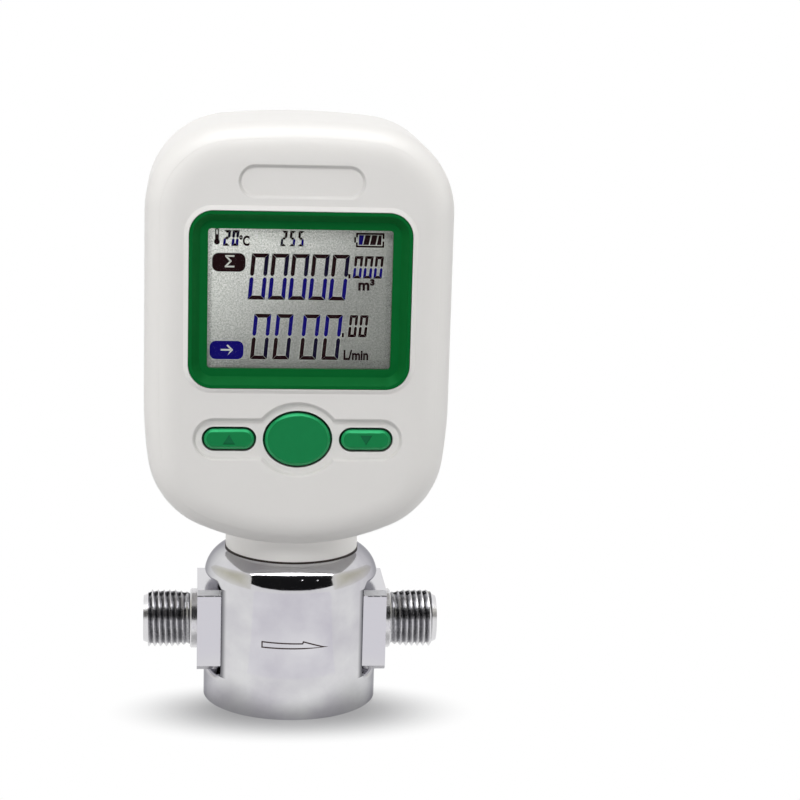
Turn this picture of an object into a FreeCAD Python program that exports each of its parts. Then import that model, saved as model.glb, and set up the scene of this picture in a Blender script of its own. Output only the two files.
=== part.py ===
import FreeCAD, Part
import math
import os

# Gas flow meter with a moulded head on a bright metal body.
# Millimetres, +Z up. The origin is the middle of the flat base. The display
# faces -Y, and gas flows along +X through two threaded pipe ends.

Vector = FreeCAD.Vector

# Metal body
BODY_RADIUS = 20.0
BODY_HEIGHT = 35.4
SHOULDER_RADIUS = 7.0
SHOULDER_CROP = 0.5
SHELL_WALL = 3.0
SHELL_ROOF = 3.6
SHELL_HOLE_RADIUS = 5.5
SHELL_POST_RADIUS = 2.9

# Side windows of the body, where the flow block comes out
WINDOW_SIDE_GAP = 0.35
WINDOW_BELOW = 1.3
WINDOW_ABOVE = 1.7
WINDOW_CORNER = 1.6
WINDOW_EDGE = 1.0

# Square bar that carries the gas passage
BLOCK_PROUD = 1.65
BLOCK_DEPTH = 20.0
BLOCK_BOTTOM = 8.4
BLOCK_HEIGHT = 18.9
BLOCK_CHAMFER = 1.05
PASSAGE_RADIUS = 4.5

# Threaded pipe ends, G 1/4
THREAD_RADIUS = 6.5785
THREAD_DEPTH = 0.856
THREAD_LEAD = 0.6
FITTING_REACH = 12.35
FITTING_BORE_RADIUS = 4.0
COLLAR_RADIUS = 6.9
COLLAR_LENGTH = 1.6
NOSE_LENGTH = 1.1
NOSE_DROP = 0.45
SHANK_RADIUS = 6.2
SHANK_LENGTH = 7.0
SHANK_CLEARANCE = 0.05
SEAL_THICKNESS = 1.2
SEAL_CLEARANCE = 0.1
SCREEN_SETBACK = 0.5
SCREEN_THICKNESS = 0.4
STRAIGHTENER_LENGTH = 3.0
STRAIGHTENER_HOLE_RADIUS = 0.75
STRAIGHTENER_PITCH = 2.1
FIT_GAP = 0.05

# Sensor in the top of the block
CARRIER_LENGTH = 16.0
CARRIER_WIDTH = 11.0
CARRIER_THICKNESS = 1.6
CARRIER_CORNER = 1.0
BLADE_LENGTH = 7.0
BLADE_WIDTH = 4.6
BLADE_TIP_SHARE = 0.3
SENSOR_SEAL_THICKNESS = 0.6
SENSOR_SEAL_INSET = 0.1
SENSOR_CHIP_SIZE = 2.2
SENSOR_CHIP_THICKNESS = 0.4
SENSOR_SCREW_INSET = 1.7
SENSOR_SCREW_BITE = 1.6
POCKET_CLEARANCE = 0.15

# Base plate
BASE_THICKNESS = 2.6
BASE_LIP = 1.0
BASE_CLEARANCE = 0.1
BASE_PAD_RADIUS = 7.5
BASE_SCREW_CIRCLE = 5.0
BASE_SCREW_SINK = 0.4
BASE_SCREW_BITE = 3.5

# Neck joint between head and body
NECK_RADIUS = 15.2
NECK_WALL = 3.6
NECK_LENGTH = 3.9
NECK_ROOT = 8.0
GASKET_THICKNESS = 0.4
GASKET_OVERHANG = 0.12
SPOOL_RIM_INSET = 1.8
SPOOL_RIM_THICKNESS = 2.0
SPOOL_RIM_LIFT = 2.6
SPOOL_CLEARANCE = 0.1
SPOOL_SCREW_X = 6.5
SPOOL_SCREW_Y = 7.6
SPOOL_SCREW_BITE = 5.0

# Outline of the head, seen from the front
HEAD_WIDTH = 67.8
HEAD_HEIGHT = 95.2
HEAD_DEPTH = 41.0
HEAD_WALL = 2.2
HEAD_EDGE = 8.0
TOP_CROWN_RADIUS = 160.0
TOP_CORNER_RADIUS = 19.2
SIDE_END_HEIGHT = 33.4
SIDE_SWEEP_RADIUS = 103.0
LOW_CORNER_RADIUS = 19.4
LOW_CROWN_RADIUS = 54.0
LIP_HEIGHT = 1.2
LIP_THICKNESS = 1.0
LIP_CLEARANCE = 0.1
RIB_THICKNESS = 1.2
RIB_HEIGHT = 1.5
RIB_ROOT = 0.5

# Display; a rise is a height above the lowest point of the head
BEZEL_RISE = 56.7
BEZEL_SIDE = 9.75
BEZEL_HEIGHT = 38.9
BEZEL_CORNER = 5.2
BEZEL_RIM = 0.7
BEZEL_SLOPE = 1.6
BEZEL_DISH = 1.5
BEZEL_FLOOR = 1.0
BEZEL_FLANGE = 1.4
BEAD_HEIGHT = 0.5
BEAD_TOP = 0.3
BEAD_SLOPE = 0.9
BEZEL_FLANGE_THICKNESS = 1.0
BEZEL_CLEARANCE = 0.12
VIEW_SIDE = 4.05
VIEW_HEIGHT = 30.8
VIEW_CORNER = 0.8
PANE_MARGIN = 1.3
PANE_THICKNESS = 1.0
PANE_CLEARANCE = 0.1
LCD_SIDE_MARGIN = 1.7
LCD_END_MARGIN = 2.6
LCD_THICKNESS = 2.2
LCD_LEDGE = 1.2
HOLDER_WALL = 1.4
HOLDER_CLEARANCE = 0.15
HOLDER_FRONT_GAP = 0.3
HOLDER_LIP = 0.4
HOLDER_BAR = 1.2
STRIP_LENGTH = 2.8
STRIP_SIDE_INSET = 2.8
STRIP_END_INSET = 1.6
STRIP_THICKNESS = 1.8
STRIP_GAP = 0.2

# Blank badge recess above the display
BADGE_RISE = 82.55
BADGE_WIDTH = 26.8
BADGE_HEIGHT = 6.7
BADGE_DEPTH = 0.45

# Keys
KEY_RISE = 25.65
OVAL_HALF_WIDTH = 7.7
OVAL_HALF_HEIGHT = 6.45
PILL_WIDTH = 12.0
PILL_HEIGHT = 5.5
KEY_SPACING = 1.4
KEY_GAP = 0.25
KEY_FLANGE = 0.55
KEY_FLANGE_THICKNESS = 1.0
KEY_BEVEL = 0.9
KEY_TRAVEL = 0.6
KEY_STEM_RADIUS = 1.6
KEY_RECESS_MARGIN = 1.7
KEY_RECESS_DEPTH = 0.7
KEY_MARK_WIDTH = 2.7
KEY_MARK_HEIGHT = 2.2
KEY_MARK_DEPTH = 0.35
SWITCH_SIZE = 6.0
SWITCH_HEIGHT = 2.6
PLUNGER_RADIUS = 1.4
PLUNGER_LENGTH = 1.9
PLUNGER_CLEARANCE = 0.05
PLUNGER_FOOT_GAP = 0.1

# Circuit board
BOARD_RISE = 15.8
BOARD_ABOVE_HOLDER = 7.7
BOARD_MARGIN = 1.7
BOARD_THICKNESS = 1.6
BOARD_CORNER = 3.0
BOARD_SCREW_INSET = 3.5
BOARD_SCREW_LOW = 2.4
BOARD_SCREW_HIGH = 2.7
BOARD_SCREW_BITE = 3.5
STANDOFF_RADIUS = 2.3
CHIP_RISE = 40.0
CHIP_X = 8.0
CHIP_THICKNESS = 1.4
PROCESSOR_SIZE = 10.0
MEMORY_WIDTH = 5.0
MEMORY_HEIGHT = 4.0
CAPACITOR_RISE = 16.0
CAPACITOR_SIDE = 6.0
CAPACITOR_SPACING = 7.5
CAPACITOR_RADIUS = 3.1
CAPACITOR_LENGTH = 7.0
SOCKET_RISE = 4.0
SOCKET_WIDTH = 9.0
SOCKET_HEIGHT = 4.4
SOCKET_DEPTH = 4.0
SOCKET_SLOT = 2.5
RIBBON_WIDTH = 6.0
RIBBON_THICKNESS = 0.5
RIBBON_BEND = 6.0
RIBBON_ENTRY = 2.2
RIBBON_LOW_RISE = 5.0
RIBBON_HIGH_DROP = 4.5

# Battery bay
BAY_RISE = 52.3
CELL_RADIUS = 7.1
CELL_LENGTH = 49.2
CELL_NUB_RADIUS = 2.7
CELL_NUB_LENGTH = 1.3
CELL_SPACING = 1.0
CELL_COVER_GAP = 0.5
CELL_FLOOR_GAP = 0.3
BAY_WALL = 1.5
BAY_SIDE_GAP = 0.9
BAY_END_GAP = 0.05
CONTACT_THICKNESS = 0.4
CONTACT_SIZE = 11.0
CONTACT_SPRING = 2.2
CONTACT_ARCH_SHARE = 0.75
CONTACT_STRIP = 4.0
COVER_SIDE_MARGIN = 1.1
COVER_END_MARGIN = 6.6
COVER_CORNER = 4.0
COVER_THICKNESS = 1.2
COVER_CLEARANCE = 0.2
COVER_PLUG = 0.9
COVER_SCREW_INSET = 3.3
COVER_SCREW_LENGTH = 6.0
COVER_HEAD_HEIGHT = 0.67
COVER_HEAD_SINK = 0.05

# Screws
SCREW_RADIUS = 1.25
SCREW_HEAD_RADIUS = 2.3
SCREW_HEAD_HEIGHT = 1.6
SCREW_CLEARANCE = 0.2
SCREW_TIP_GAP = 0.5
SMALL_SCREW_RADIUS = 0.9
SMALL_HEAD_RADIUS = 1.7
SMALL_HEAD_HEIGHT = 1.1
DRIVE_WIDTH = 0.6
DRIVE_LENGTH = 2.5
DRIVE_DEPTH_SHARE = 0.6
SOCKET_DRIVE_SHARE = 0.5
HOUSING_SCREW_INSET = 6.4
HOUSING_SCREW_RISES = (20.8, 77.8)
HOUSING_SCREW_LENGTH = 18.0
HOUSING_BOSS_RADIUS = 2.9
HOUSING_BOSS_FLOOR = 4.0
HOUSING_SHELF_Y = 9.0
WELL_WALL = 1.0

# How far a cutting tool runs past the face it cuts
PAST = 1.0

# Sizes that follow from those above
BLOCK_LENGTH = 2 * (BODY_RADIUS + BLOCK_PROUD)
BLOCK_TOP = BLOCK_BOTTOM + BLOCK_HEIGHT
PORT_Z = BLOCK_BOTTOM + BLOCK_HEIGHT / 2
FITTING_END = BLOCK_LENGTH / 2 + FITTING_REACH
SHANK_END = BLOCK_LENGTH / 2 - SHANK_LENGTH
SCREEN_X = SHANK_END - SEAL_THICKNESS - SCREEN_SETBACK
WINDOW_HALF_WIDTH = BLOCK_DEPTH / 2 + WINDOW_SIDE_GAP
WINDOW_BOTTOM = BLOCK_BOTTOM - WINDOW_BELOW
WINDOW_TOP = BLOCK_TOP + WINDOW_ABOVE
ROOF_Z = BODY_HEIGHT - SHELL_ROOF
SHOULDER_Z = BODY_HEIGHT - SHOULDER_RADIUS + SHOULDER_CROP
CARRIER_Z = BLOCK_TOP - CARRIER_THICKNESS
POCKET_Z = CARRIER_Z - SENSOR_SEAL_THICKNESS
BLADE_TIP_Z = PORT_Z + PASSAGE_RADIUS * BLADE_TIP_SHARE
SENSOR_SCREW_X = CARRIER_LENGTH / 2 - SENSOR_SCREW_INSET
BASE_SEAT_Z = SCREW_HEAD_HEIGHT + BASE_SCREW_SINK
NECK_BOTTOM = BODY_HEIGHT + GASKET_THICKNESS
NECK_BORE_RADIUS = NECK_RADIUS - NECK_WALL
SPOOL_RIM_RADIUS = NECK_RADIUS - SPOOL_RIM_INSET
SPOOL_TOP = BODY_HEIGHT + SPOOL_RIM_LIFT + SPOOL_RIM_THICKNESS
SPOOL_SCREW_SEAT = SPOOL_TOP - SCREW_HEAD_HEIGHT
HEAD_BOTTOM = NECK_BOTTOM + NECK_LENGTH
HEAD_TOP = HEAD_BOTTOM + HEAD_HEIGHT
FRONT_Y = -HEAD_DEPTH / 2
BACK_Y = HEAD_DEPTH / 2
INNER_FRONT_Y = FRONT_Y + HEAD_WALL
INNER_BACK_Y = BACK_Y - HEAD_WALL
BEZEL_Z = HEAD_BOTTOM + BEZEL_RISE
BEZEL_WIDTH = HEAD_WIDTH - 2 * BEZEL_SIDE
VIEW_WIDTH = BEZEL_WIDTH - 2 * VIEW_SIDE
BADGE_Z = HEAD_BOTTOM + BADGE_RISE
KEY_Z = HEAD_BOTTOM + KEY_RISE
BEAD_Y = FRONT_Y - BEAD_HEIGHT
BEZEL_FLOOR_Y = FRONT_Y + BEZEL_DISH
PANE_Y = BEZEL_FLOOR_Y + BEZEL_FLOOR
LCD_Y = PANE_Y + PANE_THICKNESS
LCD_BACK_Y = LCD_Y + LCD_THICKNESS
LCD_HALF_WIDTH = VIEW_WIDTH / 2 + LCD_SIDE_MARGIN
LCD_HALF_HEIGHT = VIEW_HEIGHT / 2 + LCD_END_MARGIN
STRIP_HALF_WIDTH = LCD_HALF_WIDTH - STRIP_SIDE_INSET
STRIP_HEIGHTS = [
    BEZEL_Z + side * (LCD_HALF_HEIGHT - STRIP_END_INSET) for side in (-1, 1)
]
PILL_X = OVAL_HALF_WIDTH + KEY_SPACING + PILL_WIDTH / 2
BOARD_Y = LCD_BACK_Y + STRIP_LENGTH
BOARD_BACK_Y = BOARD_Y + BOARD_THICKNESS
BOARD_WIDTH = 2 * (LCD_HALF_WIDTH + BOARD_MARGIN)
BOARD_BOTTOM = HEAD_BOTTOM + BOARD_RISE
HOLDER_TOP = BEZEL_Z + LCD_HALF_HEIGHT + HOLDER_CLEARANCE + HOLDER_WALL
BOARD_TOP = HOLDER_TOP + BOARD_ABOVE_HOLDER
CAPACITOR_X = BOARD_WIDTH / 2 - CAPACITOR_SIDE
SOCKET_Z = BOARD_BOTTOM + SOCKET_RISE
SOCKET_Y = BOARD_BACK_Y + SOCKET_DEPTH / 2
PLUNGER_TIP_Y = BOARD_Y - SWITCH_HEIGHT - KEY_TRAVEL
COVER_Y = BACK_Y - COVER_THICKNESS
COVER_HEAD_SEAT = BACK_Y - COVER_HEAD_SINK - COVER_HEAD_HEIGHT
CELL_Y = COVER_Y - COVER_PLUG - CELL_COVER_GAP - CELL_RADIUS
CELL_PITCH = 2 * CELL_RADIUS + CELL_SPACING
CELL_TOTAL = CELL_LENGTH + CELL_NUB_LENGTH
BAY_LENGTH = CELL_TOTAL + 2 * (CONTACT_THICKNESS + CONTACT_SPRING + BAY_END_GAP)
BAY_Z = HEAD_BOTTOM + BAY_RISE
BAY_BOTTOM = BAY_Z - BAY_LENGTH / 2
BAY_TOP = BAY_Z + BAY_LENGTH / 2
BAY_HALF_WIDTH = CELL_PITCH + CELL_RADIUS + BAY_SIDE_GAP
BAY_FLOOR_Y = CELL_Y - CELL_RADIUS - CELL_FLOOR_GAP
COVER_WIDTH = 2 * (BAY_HALF_WIDTH + COVER_SIDE_MARGIN)
COVER_HEIGHT = BAY_LENGTH + 2 * COVER_END_MARGIN
HOUSING_SCREW_X = HEAD_WIDTH / 2 - HOUSING_SCREW_INSET
HOUSING_SCREW_SPOTS = [
    (side * HOUSING_SCREW_X, HEAD_BOTTOM + rise)
    for side in (-1, 1)
    for rise in HOUSING_SCREW_RISES
]
BOARD_SCREW_SPOTS = [
    (side * (BOARD_WIDTH / 2 - BOARD_SCREW_INSET), z)
    for side in (-1, 1)
    for z in (BOARD_BOTTOM + BOARD_SCREW_LOW, BOARD_TOP - BOARD_SCREW_HIGH)
]
SPOOL_SCREW_SPOTS = [
    (side * SPOOL_SCREW_X, face * SPOOL_SCREW_Y) for side in (-1, 1) for face in (-1, 1)
]
COVER_SCREW_SPOTS = [
    (0.0, BAY_Z + side * (COVER_HEIGHT / 2 - COVER_SCREW_INSET)) for side in (-1, 1)
]


def box(x0, x1, y0, y1, z0, z1):
    """Box between two corners."""
    return Part.makeBox(x1 - x0, y1 - y0, z1 - z0, Vector(x0, y0, z0))


def rod(radius, start, end):
    """Round bar from one point to another."""
    axis = end - start
    return Part.makeCylinder(radius, axis.Length, start, axis)


def depth_rod(radius, x, z, y0, y1):
    """Round bar along Y."""
    return rod(radius, Vector(x, y0, z), Vector(x, y1, z))


def fuse(shapes):
    """One solid from overlapping shapes, without seams between them."""
    return shapes[0].multiFuse(shapes[1:]).removeSplitter()


def slab(wire, y0, y1):
    """Closed outline drawn on the plane Y = 0, made solid from y0 to y1."""
    face = Part.Face(wire)
    face.translate(Vector(0, y0, 0))
    return face.extrude(Vector(0, y1 - y0, 0))


def rounded_rect(width, height, radius, centre_x, centre_z):
    """Rectangle with round corners, or a pill where the radius is half the height."""
    half_w = width / 2
    half_h = height / 2
    edges = []
    corners = [(1, 1, 0), (-1, 1, 90), (-1, -1, 180), (1, -1, 270)]
    ends = []
    for side, level, turn in corners:
        cx = centre_x + side * (half_w - radius)
        cz = centre_z + level * (half_h - radius)
        points = [
            Vector(
                cx + radius * math.cos(math.radians(turn + step)),
                0,
                cz + radius * math.sin(math.radians(turn + step)),
            )
            for step in (0, 45, 90)
        ]
        edges.append(Part.Arc(*points).toShape())
        ends.append(points)
    for i in range(4):
        start = ends[i][2]
        end = ends[(i + 1) % 4][0]
        if (end - start).Length > 0.001:
            edges.append(Part.LineSegment(start, end).toShape())
    return Part.Wire(Part.__sortEdges__(edges))


def oval(half_width, half_height, centre_z):
    """Ellipse centred on X = 0."""
    ring = Part.Ellipse(
        Vector(half_width, 0, centre_z),
        Vector(0, 0, centre_z + half_height),
        Vector(0, 0, centre_z),
    )
    return Part.Wire(ring.toShape())


def key_outlines(margin):
    """Outlines of the three keys, grown by a margin: left pill, oval, right pill."""
    height = PILL_HEIGHT + 2 * margin
    pills = [
        rounded_rect(PILL_WIDTH + 2 * margin, height, height / 2, side * PILL_X, KEY_Z)
        for side in (-1, 1)
    ]
    middle = oval(OVAL_HALF_WIDTH + margin, OVAL_HALF_HEIGHT + margin, KEY_Z)
    return [pills[0], middle, pills[1]]


def keypad_outlines():
    """Outlines of the shallow recess round the keys: one long pill and the oval."""
    margin = KEY_RECESS_MARGIN
    length = 2 * (PILL_X + PILL_WIDTH / 2 + margin)
    height = PILL_HEIGHT + 2 * margin
    return [rounded_rect(length, height, height / 2, 0, KEY_Z), key_outlines(margin)[1]]


def unit(x, z):
    """Direction of length one in the plane of the head's outline."""
    return Vector(x, 0, z).normalize()


def arc_about(centre, radius, first, last):
    """Arc about a centre between two directions, the short way round."""
    middle = (first + last).normalize()
    return Part.Arc(
        centre + first * radius, centre + middle * radius, centre + last * radius
    ).toShape()


def low_corner_centre(sweep_centre, crown_centre):
    """Centre of the lower corner's arc, which touches the side sweep and the low crown."""
    a = SIDE_SWEEP_RADIUS - LOW_CORNER_RADIUS
    b = LOW_CROWN_RADIUS - LOW_CORNER_RADIUS
    link = crown_centre - sweep_centre
    along = (a * a - b * b + link.Length ** 2) / (2 * link.Length)
    off = math.sqrt(a * a - along * along)
    step = Vector(link).normalize()
    across = Vector(-step.z, 0, step.x)
    return sweep_centre + step * along - across * off


def head_outline(inset):
    """Outline of the head from tangent arcs, moved inwards by an inset."""
    half = HEAD_WIDTH / 2
    top_centre = Vector(0, 0, HEAD_TOP - TOP_CROWN_RADIUS)
    reach = TOP_CROWN_RADIUS - TOP_CORNER_RADIUS
    corner_x = half - TOP_CORNER_RADIUS
    corner = Vector(corner_x, 0, top_centre.z + math.sqrt(reach ** 2 - corner_x ** 2))
    sweep = Vector(half - SIDE_SWEEP_RADIUS, 0, HEAD_BOTTOM + SIDE_END_HEIGHT)
    crown = Vector(0, 0, HEAD_BOTTOM + LOW_CROWN_RADIUS)
    low = low_corner_centre(sweep, crown)

    to_corner = (corner - top_centre).normalize()
    from_sweep = (low - sweep).normalize()
    from_crown = (low - crown).normalize()
    right = [
        arc_about(corner, TOP_CORNER_RADIUS - inset, to_corner, unit(1, 0)),
        Part.LineSegment(
            Vector(half - inset, 0, corner.z), Vector(half - inset, 0, sweep.z)
        ).toShape(),
        arc_about(sweep, SIDE_SWEEP_RADIUS - inset, unit(1, 0), from_sweep),
        arc_about(low, LOW_CORNER_RADIUS - inset, from_sweep, from_crown),
    ]
    left = [edge.mirror(Vector(0, 0, 0), Vector(1, 0, 0)) for edge in right]
    top = arc_about(
        top_centre, TOP_CROWN_RADIUS - inset, unit(-to_corner.x, to_corner.z), to_corner
    )
    bottom = arc_about(
        crown, LOW_CROWN_RADIUS - inset, from_crown, unit(-from_crown.x, from_crown.z)
    )
    return Part.Wire(Part.__sortEdges__([top, bottom] + right + left))


def head_form(inset, neck_radius, neck_bottom):
    """Head and neck as one closed form, inset from the outer skin."""
    y0 = FRONT_Y + inset
    y1 = BACK_Y - inset
    form = slab(head_outline(inset), y0, y1)
    rims = [
        edge
        for edge in form.Edges
        if abs(edge.CenterOfMass.y - y0) < 0.01 or abs(edge.CenterOfMass.y - y1) < 0.01
    ]
    form = form.makeFillet(HEAD_EDGE - inset, rims)
    neck = rod(neck_radius, Vector(0, 0, neck_bottom), Vector(0, 0, HEAD_BOTTOM + NECK_ROOT))
    return fuse([form, neck])


def half_space(side):
    """Box that holds the front half of the head, or the back half."""
    far = side * (HEAD_DEPTH / 2 + PAST)
    reach = HEAD_WIDTH / 2 + PAST
    return box(-reach, reach, min(0, far), max(0, far), NECK_BOTTOM - PAST, HEAD_TOP + PAST)


def lip_ring(outer_inset, height):
    """Ring inside the wall at the joint of the two halves, open at the neck."""
    ring = slab(head_outline(outer_inset), -height, RIB_ROOT)
    ring = ring.cut(slab(head_outline(HEAD_WALL), -height - PAST, PAST))
    gap = NECK_RADIUS + PAST
    deep = height + PAST
    return ring.cut(box(-gap, gap, -deep, deep, HEAD_BOTTOM - PAST, HEAD_BOTTOM + NECK_ROOT))


def spool_form(clearance):
    """Neck spool grown by a clearance, used for the part and for its groove."""
    hub_radius = NECK_BORE_RADIUS - SPOOL_CLEARANCE + clearance
    hub = rod(hub_radius, Vector(0, 0, BODY_HEIGHT), Vector(0, 0, SPOOL_TOP))
    disc = rod(
        SPOOL_RIM_RADIUS + clearance,
        Vector(0, 0, BODY_HEIGHT + SPOOL_RIM_LIFT - clearance),
        Vector(0, 0, SPOOL_TOP + clearance),
    )
    return fuse([hub, disc])


def depth_screw(x, z, seat, shank, length, head_radius, head_height):
    """Flat-topped screw along Y, its head behind the seat, with a cross-shaped recess."""
    top = seat + head_height
    head = depth_rod(head_radius, x, z, seat, top)
    body = depth_rod(shank, x, z, seat - length, seat)
    floor = top - head_height * DRIVE_DEPTH_SHARE
    reach = DRIVE_LENGTH / 2
    half = DRIVE_WIDTH / 2
    level = box(x - reach, x + reach, floor, top + PAST, z - half, z + half)
    upright = box(x - half, x + half, floor, top + PAST, z - reach, z + reach)
    return fuse([head, body]).cut(fuse([level, upright]))


def upright_screw(x, y, seat_z, up, shank, length, head_radius, head_height):
    """Socket-head screw along Z, with its head on the side that up points to."""
    head = rod(head_radius, Vector(x, y, seat_z), Vector(x, y, seat_z + up * head_height))
    body = rod(shank, Vector(x, y, seat_z), Vector(x, y, seat_z - up * length))
    top = seat_z + up * head_height
    floor = top - up * head_height * DRIVE_DEPTH_SHARE
    socket = rod(head_radius * SOCKET_DRIVE_SHARE, Vector(x, y, floor), Vector(x, y, top))
    return fuse([head, body]).cut(socket)


def circle_spots(count, radius, start_angle):
    """Points spread evenly round the Z axis."""
    return [
        (
            radius * math.cos(math.radians(start_angle + i * 360 / count)),
            radius * math.sin(math.radians(start_angle + i * 360 / count)),
        )
        for i in range(count)
    ]


def bezel_outline(growth):
    """Outline of the bezel, grown by a margin."""
    return rounded_rect(
        BEZEL_WIDTH + 2 * growth, BEZEL_HEIGHT + 2 * growth, BEZEL_CORNER + growth, 0, BEZEL_Z
    )


def window_bead():
    """Low raised bead round the display window, with a sloping outer side."""
    foot = bezel_outline(BEAD_TOP + BEAD_SLOPE)
    crest = bezel_outline(BEAD_TOP)
    foot.translate(Vector(0, FRONT_Y, 0))
    crest.translate(Vector(0, BEAD_Y, 0))
    slope = Part.makeLoft([foot, crest], True, True)
    return fuse([slope, slab(bezel_outline(BEAD_TOP + BEAD_SLOPE), FRONT_Y, FRONT_Y + RIB_ROOT)])


def front_housing():
    """Front half of the head, with its openings, recesses, bosses and ribs."""
    skin = head_form(0, NECK_RADIUS, NECK_BOTTOM)
    hollow = head_form(HEAD_WALL, NECK_BORE_RADIUS, NECK_BOTTOM - PAST)
    shell = skin.cut(hollow).common(half_space(-1))
    core = head_form(HEAD_WALL / 2, NECK_RADIUS - NECK_WALL / 2, NECK_BOTTOM)

    root = INNER_FRONT_Y - RIB_ROOT
    half = RIB_THICKNESS / 2
    bosses = []
    for x, z in HOUSING_SCREW_SPOTS:
        bosses.append(depth_rod(HOUSING_BOSS_RADIUS, x, z, root, 0))
        x0, x1 = sorted((x, math.copysign(HEAD_WIDTH / 2, x)))
        bosses.append(box(x0, x1, root, -LIP_HEIGHT - RIB_ROOT, z - half, z + half))
    for x, z in BOARD_SCREW_SPOTS:
        bosses.append(depth_rod(STANDOFF_RADIUS, x, z, root, BOARD_Y))
    rib_z = (KEY_Z + OVAL_HALF_HEIGHT + BEZEL_Z - BEZEL_HEIGHT / 2) / 2
    rib_top = INNER_FRONT_Y + RIB_HEIGHT
    rib_reach = BOARD_WIDTH / 2
    bosses.append(box(-rib_reach, rib_reach, root, rib_top, rib_z - half, rib_z + half))
    shell = fuse([shell, window_bead()] + [boss.common(core) for boss in bosses])

    cuts = [lip_ring(HEAD_WALL - LIP_THICKNESS - LIP_CLEARANCE, LIP_HEIGHT + LIP_CLEARANCE)]
    cuts.append(slab(bezel_outline(BEZEL_CLEARANCE), BEAD_Y - PAST, INNER_FRONT_Y + PAST))
    badge = rounded_rect(BADGE_WIDTH, BADGE_HEIGHT, BADGE_HEIGHT / 2, 0, BADGE_Z)
    cuts.append(slab(badge, FRONT_Y - PAST, FRONT_Y + BADGE_DEPTH))
    for outline in keypad_outlines():
        cuts.append(slab(outline, FRONT_Y - PAST, FRONT_Y + KEY_RECESS_DEPTH))
    for outline in key_outlines(0):
        cuts.append(slab(outline, FRONT_Y - PAST, INNER_FRONT_Y + PAST))
    for x, z in HOUSING_SCREW_SPOTS:
        cuts.append(depth_rod(SCREW_RADIUS, x, z, INNER_FRONT_Y + HOUSING_BOSS_FLOOR, PAST))
    for x, z in BOARD_SCREW_SPOTS:
        tip = BOARD_Y - BOARD_SCREW_BITE - SCREW_TIP_GAP
        cuts.append(depth_rod(SMALL_SCREW_RADIUS, x, z, tip, BOARD_Y + PAST))
    cuts.append(spool_form(SPOOL_CLEARANCE))
    return shell.cut(cuts[0].multiFuse(cuts[1:]))


def rear_housing():
    """Back half of the head, with the battery bay, its door's seat and the screw wells."""
    skin = head_form(0, NECK_RADIUS, NECK_BOTTOM)
    hollow = head_form(HEAD_WALL, NECK_BORE_RADIUS, NECK_BOTTOM - PAST)
    shell = skin.cut(hollow).common(half_space(1))
    core = head_form(HEAD_WALL / 2, NECK_RADIUS - NECK_WALL / 2, NECK_BOTTOM)

    root = INNER_BACK_Y + RIB_ROOT
    bay = box(
        -BAY_HALF_WIDTH - BAY_WALL, BAY_HALF_WIDTH + BAY_WALL,
        BAY_FLOOR_Y - BAY_WALL, root,
        BAY_BOTTOM - BAY_WALL, BAY_TOP + BAY_WALL,
    )
    added = [bay]
    for x, z in HOUSING_SCREW_SPOTS:
        well = depth_rod(SCREW_HEAD_RADIUS + SCREW_CLEARANCE + WELL_WALL, x, z, 0, BACK_Y)
        added.append(well.common(core))
    for x, z in COVER_SCREW_SPOTS:
        added.append(depth_rod(STANDOFF_RADIUS, x, z, BAY_FLOOR_Y, root))
    added.append(lip_ring(HEAD_WALL - LIP_THICKNESS, LIP_HEIGHT))
    shell = fuse([shell] + added)

    cuts = [
        box(
            -BAY_HALF_WIDTH, BAY_HALF_WIDTH, BAY_FLOOR_Y, BACK_Y + PAST,
            BAY_BOTTOM, BAY_TOP,
        )
    ]
    seat = rounded_rect(
        COVER_WIDTH + 2 * COVER_CLEARANCE, COVER_HEIGHT + 2 * COVER_CLEARANCE,
        COVER_CORNER + COVER_CLEARANCE, 0, BAY_Z,
    )
    cuts.append(slab(seat, COVER_Y, BACK_Y + PAST))
    for x, z in HOUSING_SCREW_SPOTS:
        cuts.append(depth_rod(SCREW_RADIUS + SCREW_CLEARANCE, x, z, -PAST, BACK_Y + PAST))
        cuts.append(
            depth_rod(SCREW_HEAD_RADIUS + SCREW_CLEARANCE, x, z, HOUSING_SHELF_Y, BACK_Y + PAST)
        )
    for x, z in COVER_SCREW_SPOTS:
        tip = COVER_HEAD_SEAT - COVER_SCREW_LENGTH - SCREW_TIP_GAP
        cuts.append(depth_rod(SMALL_SCREW_RADIUS, x, z, tip, BACK_Y))
    cuts.append(spool_form(SPOOL_CLEARANCE))
    return shell.cut(cuts[0].multiFuse(cuts[1:]))


def display_bezel():
    """Green dished frame that fills the window of the front housing."""
    body = slab(bezel_outline(0), BEAD_Y, LCD_Y)
    flange_back = INNER_FRONT_Y + BEZEL_FLANGE_THICKNESS
    flange = slab(bezel_outline(BEZEL_FLANGE), INNER_FRONT_Y, flange_back)
    mouth = bezel_outline(-BEZEL_RIM)
    floor = bezel_outline(-BEZEL_RIM - BEZEL_SLOPE)
    mouth.translate(Vector(0, BEAD_Y, 0))
    floor.translate(Vector(0, BEZEL_FLOOR_Y, 0))
    dish = Part.makeLoft([mouth, floor], True, True)
    view = slab(
        rounded_rect(VIEW_WIDTH, VIEW_HEIGHT, VIEW_CORNER, 0, BEZEL_Z), BEAD_Y - PAST, LCD_Y + PAST
    )
    pocket = slab(pane_outline(PANE_CLEARANCE), PANE_Y, LCD_Y + PAST)
    return fuse([body, flange]).cut(dish).cut(view).cut(pocket)


def pane_outline(growth):
    """Outline of the clear pane."""
    margin = 2 * (PANE_MARGIN + growth)
    return rounded_rect(
        VIEW_WIDTH + margin, VIEW_HEIGHT + margin, VIEW_CORNER + growth, 0, BEZEL_Z
    )


def display_window():
    """Clear pane between the bezel's floor and the display glass."""
    return slab(pane_outline(0), PANE_Y, LCD_Y)


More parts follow.
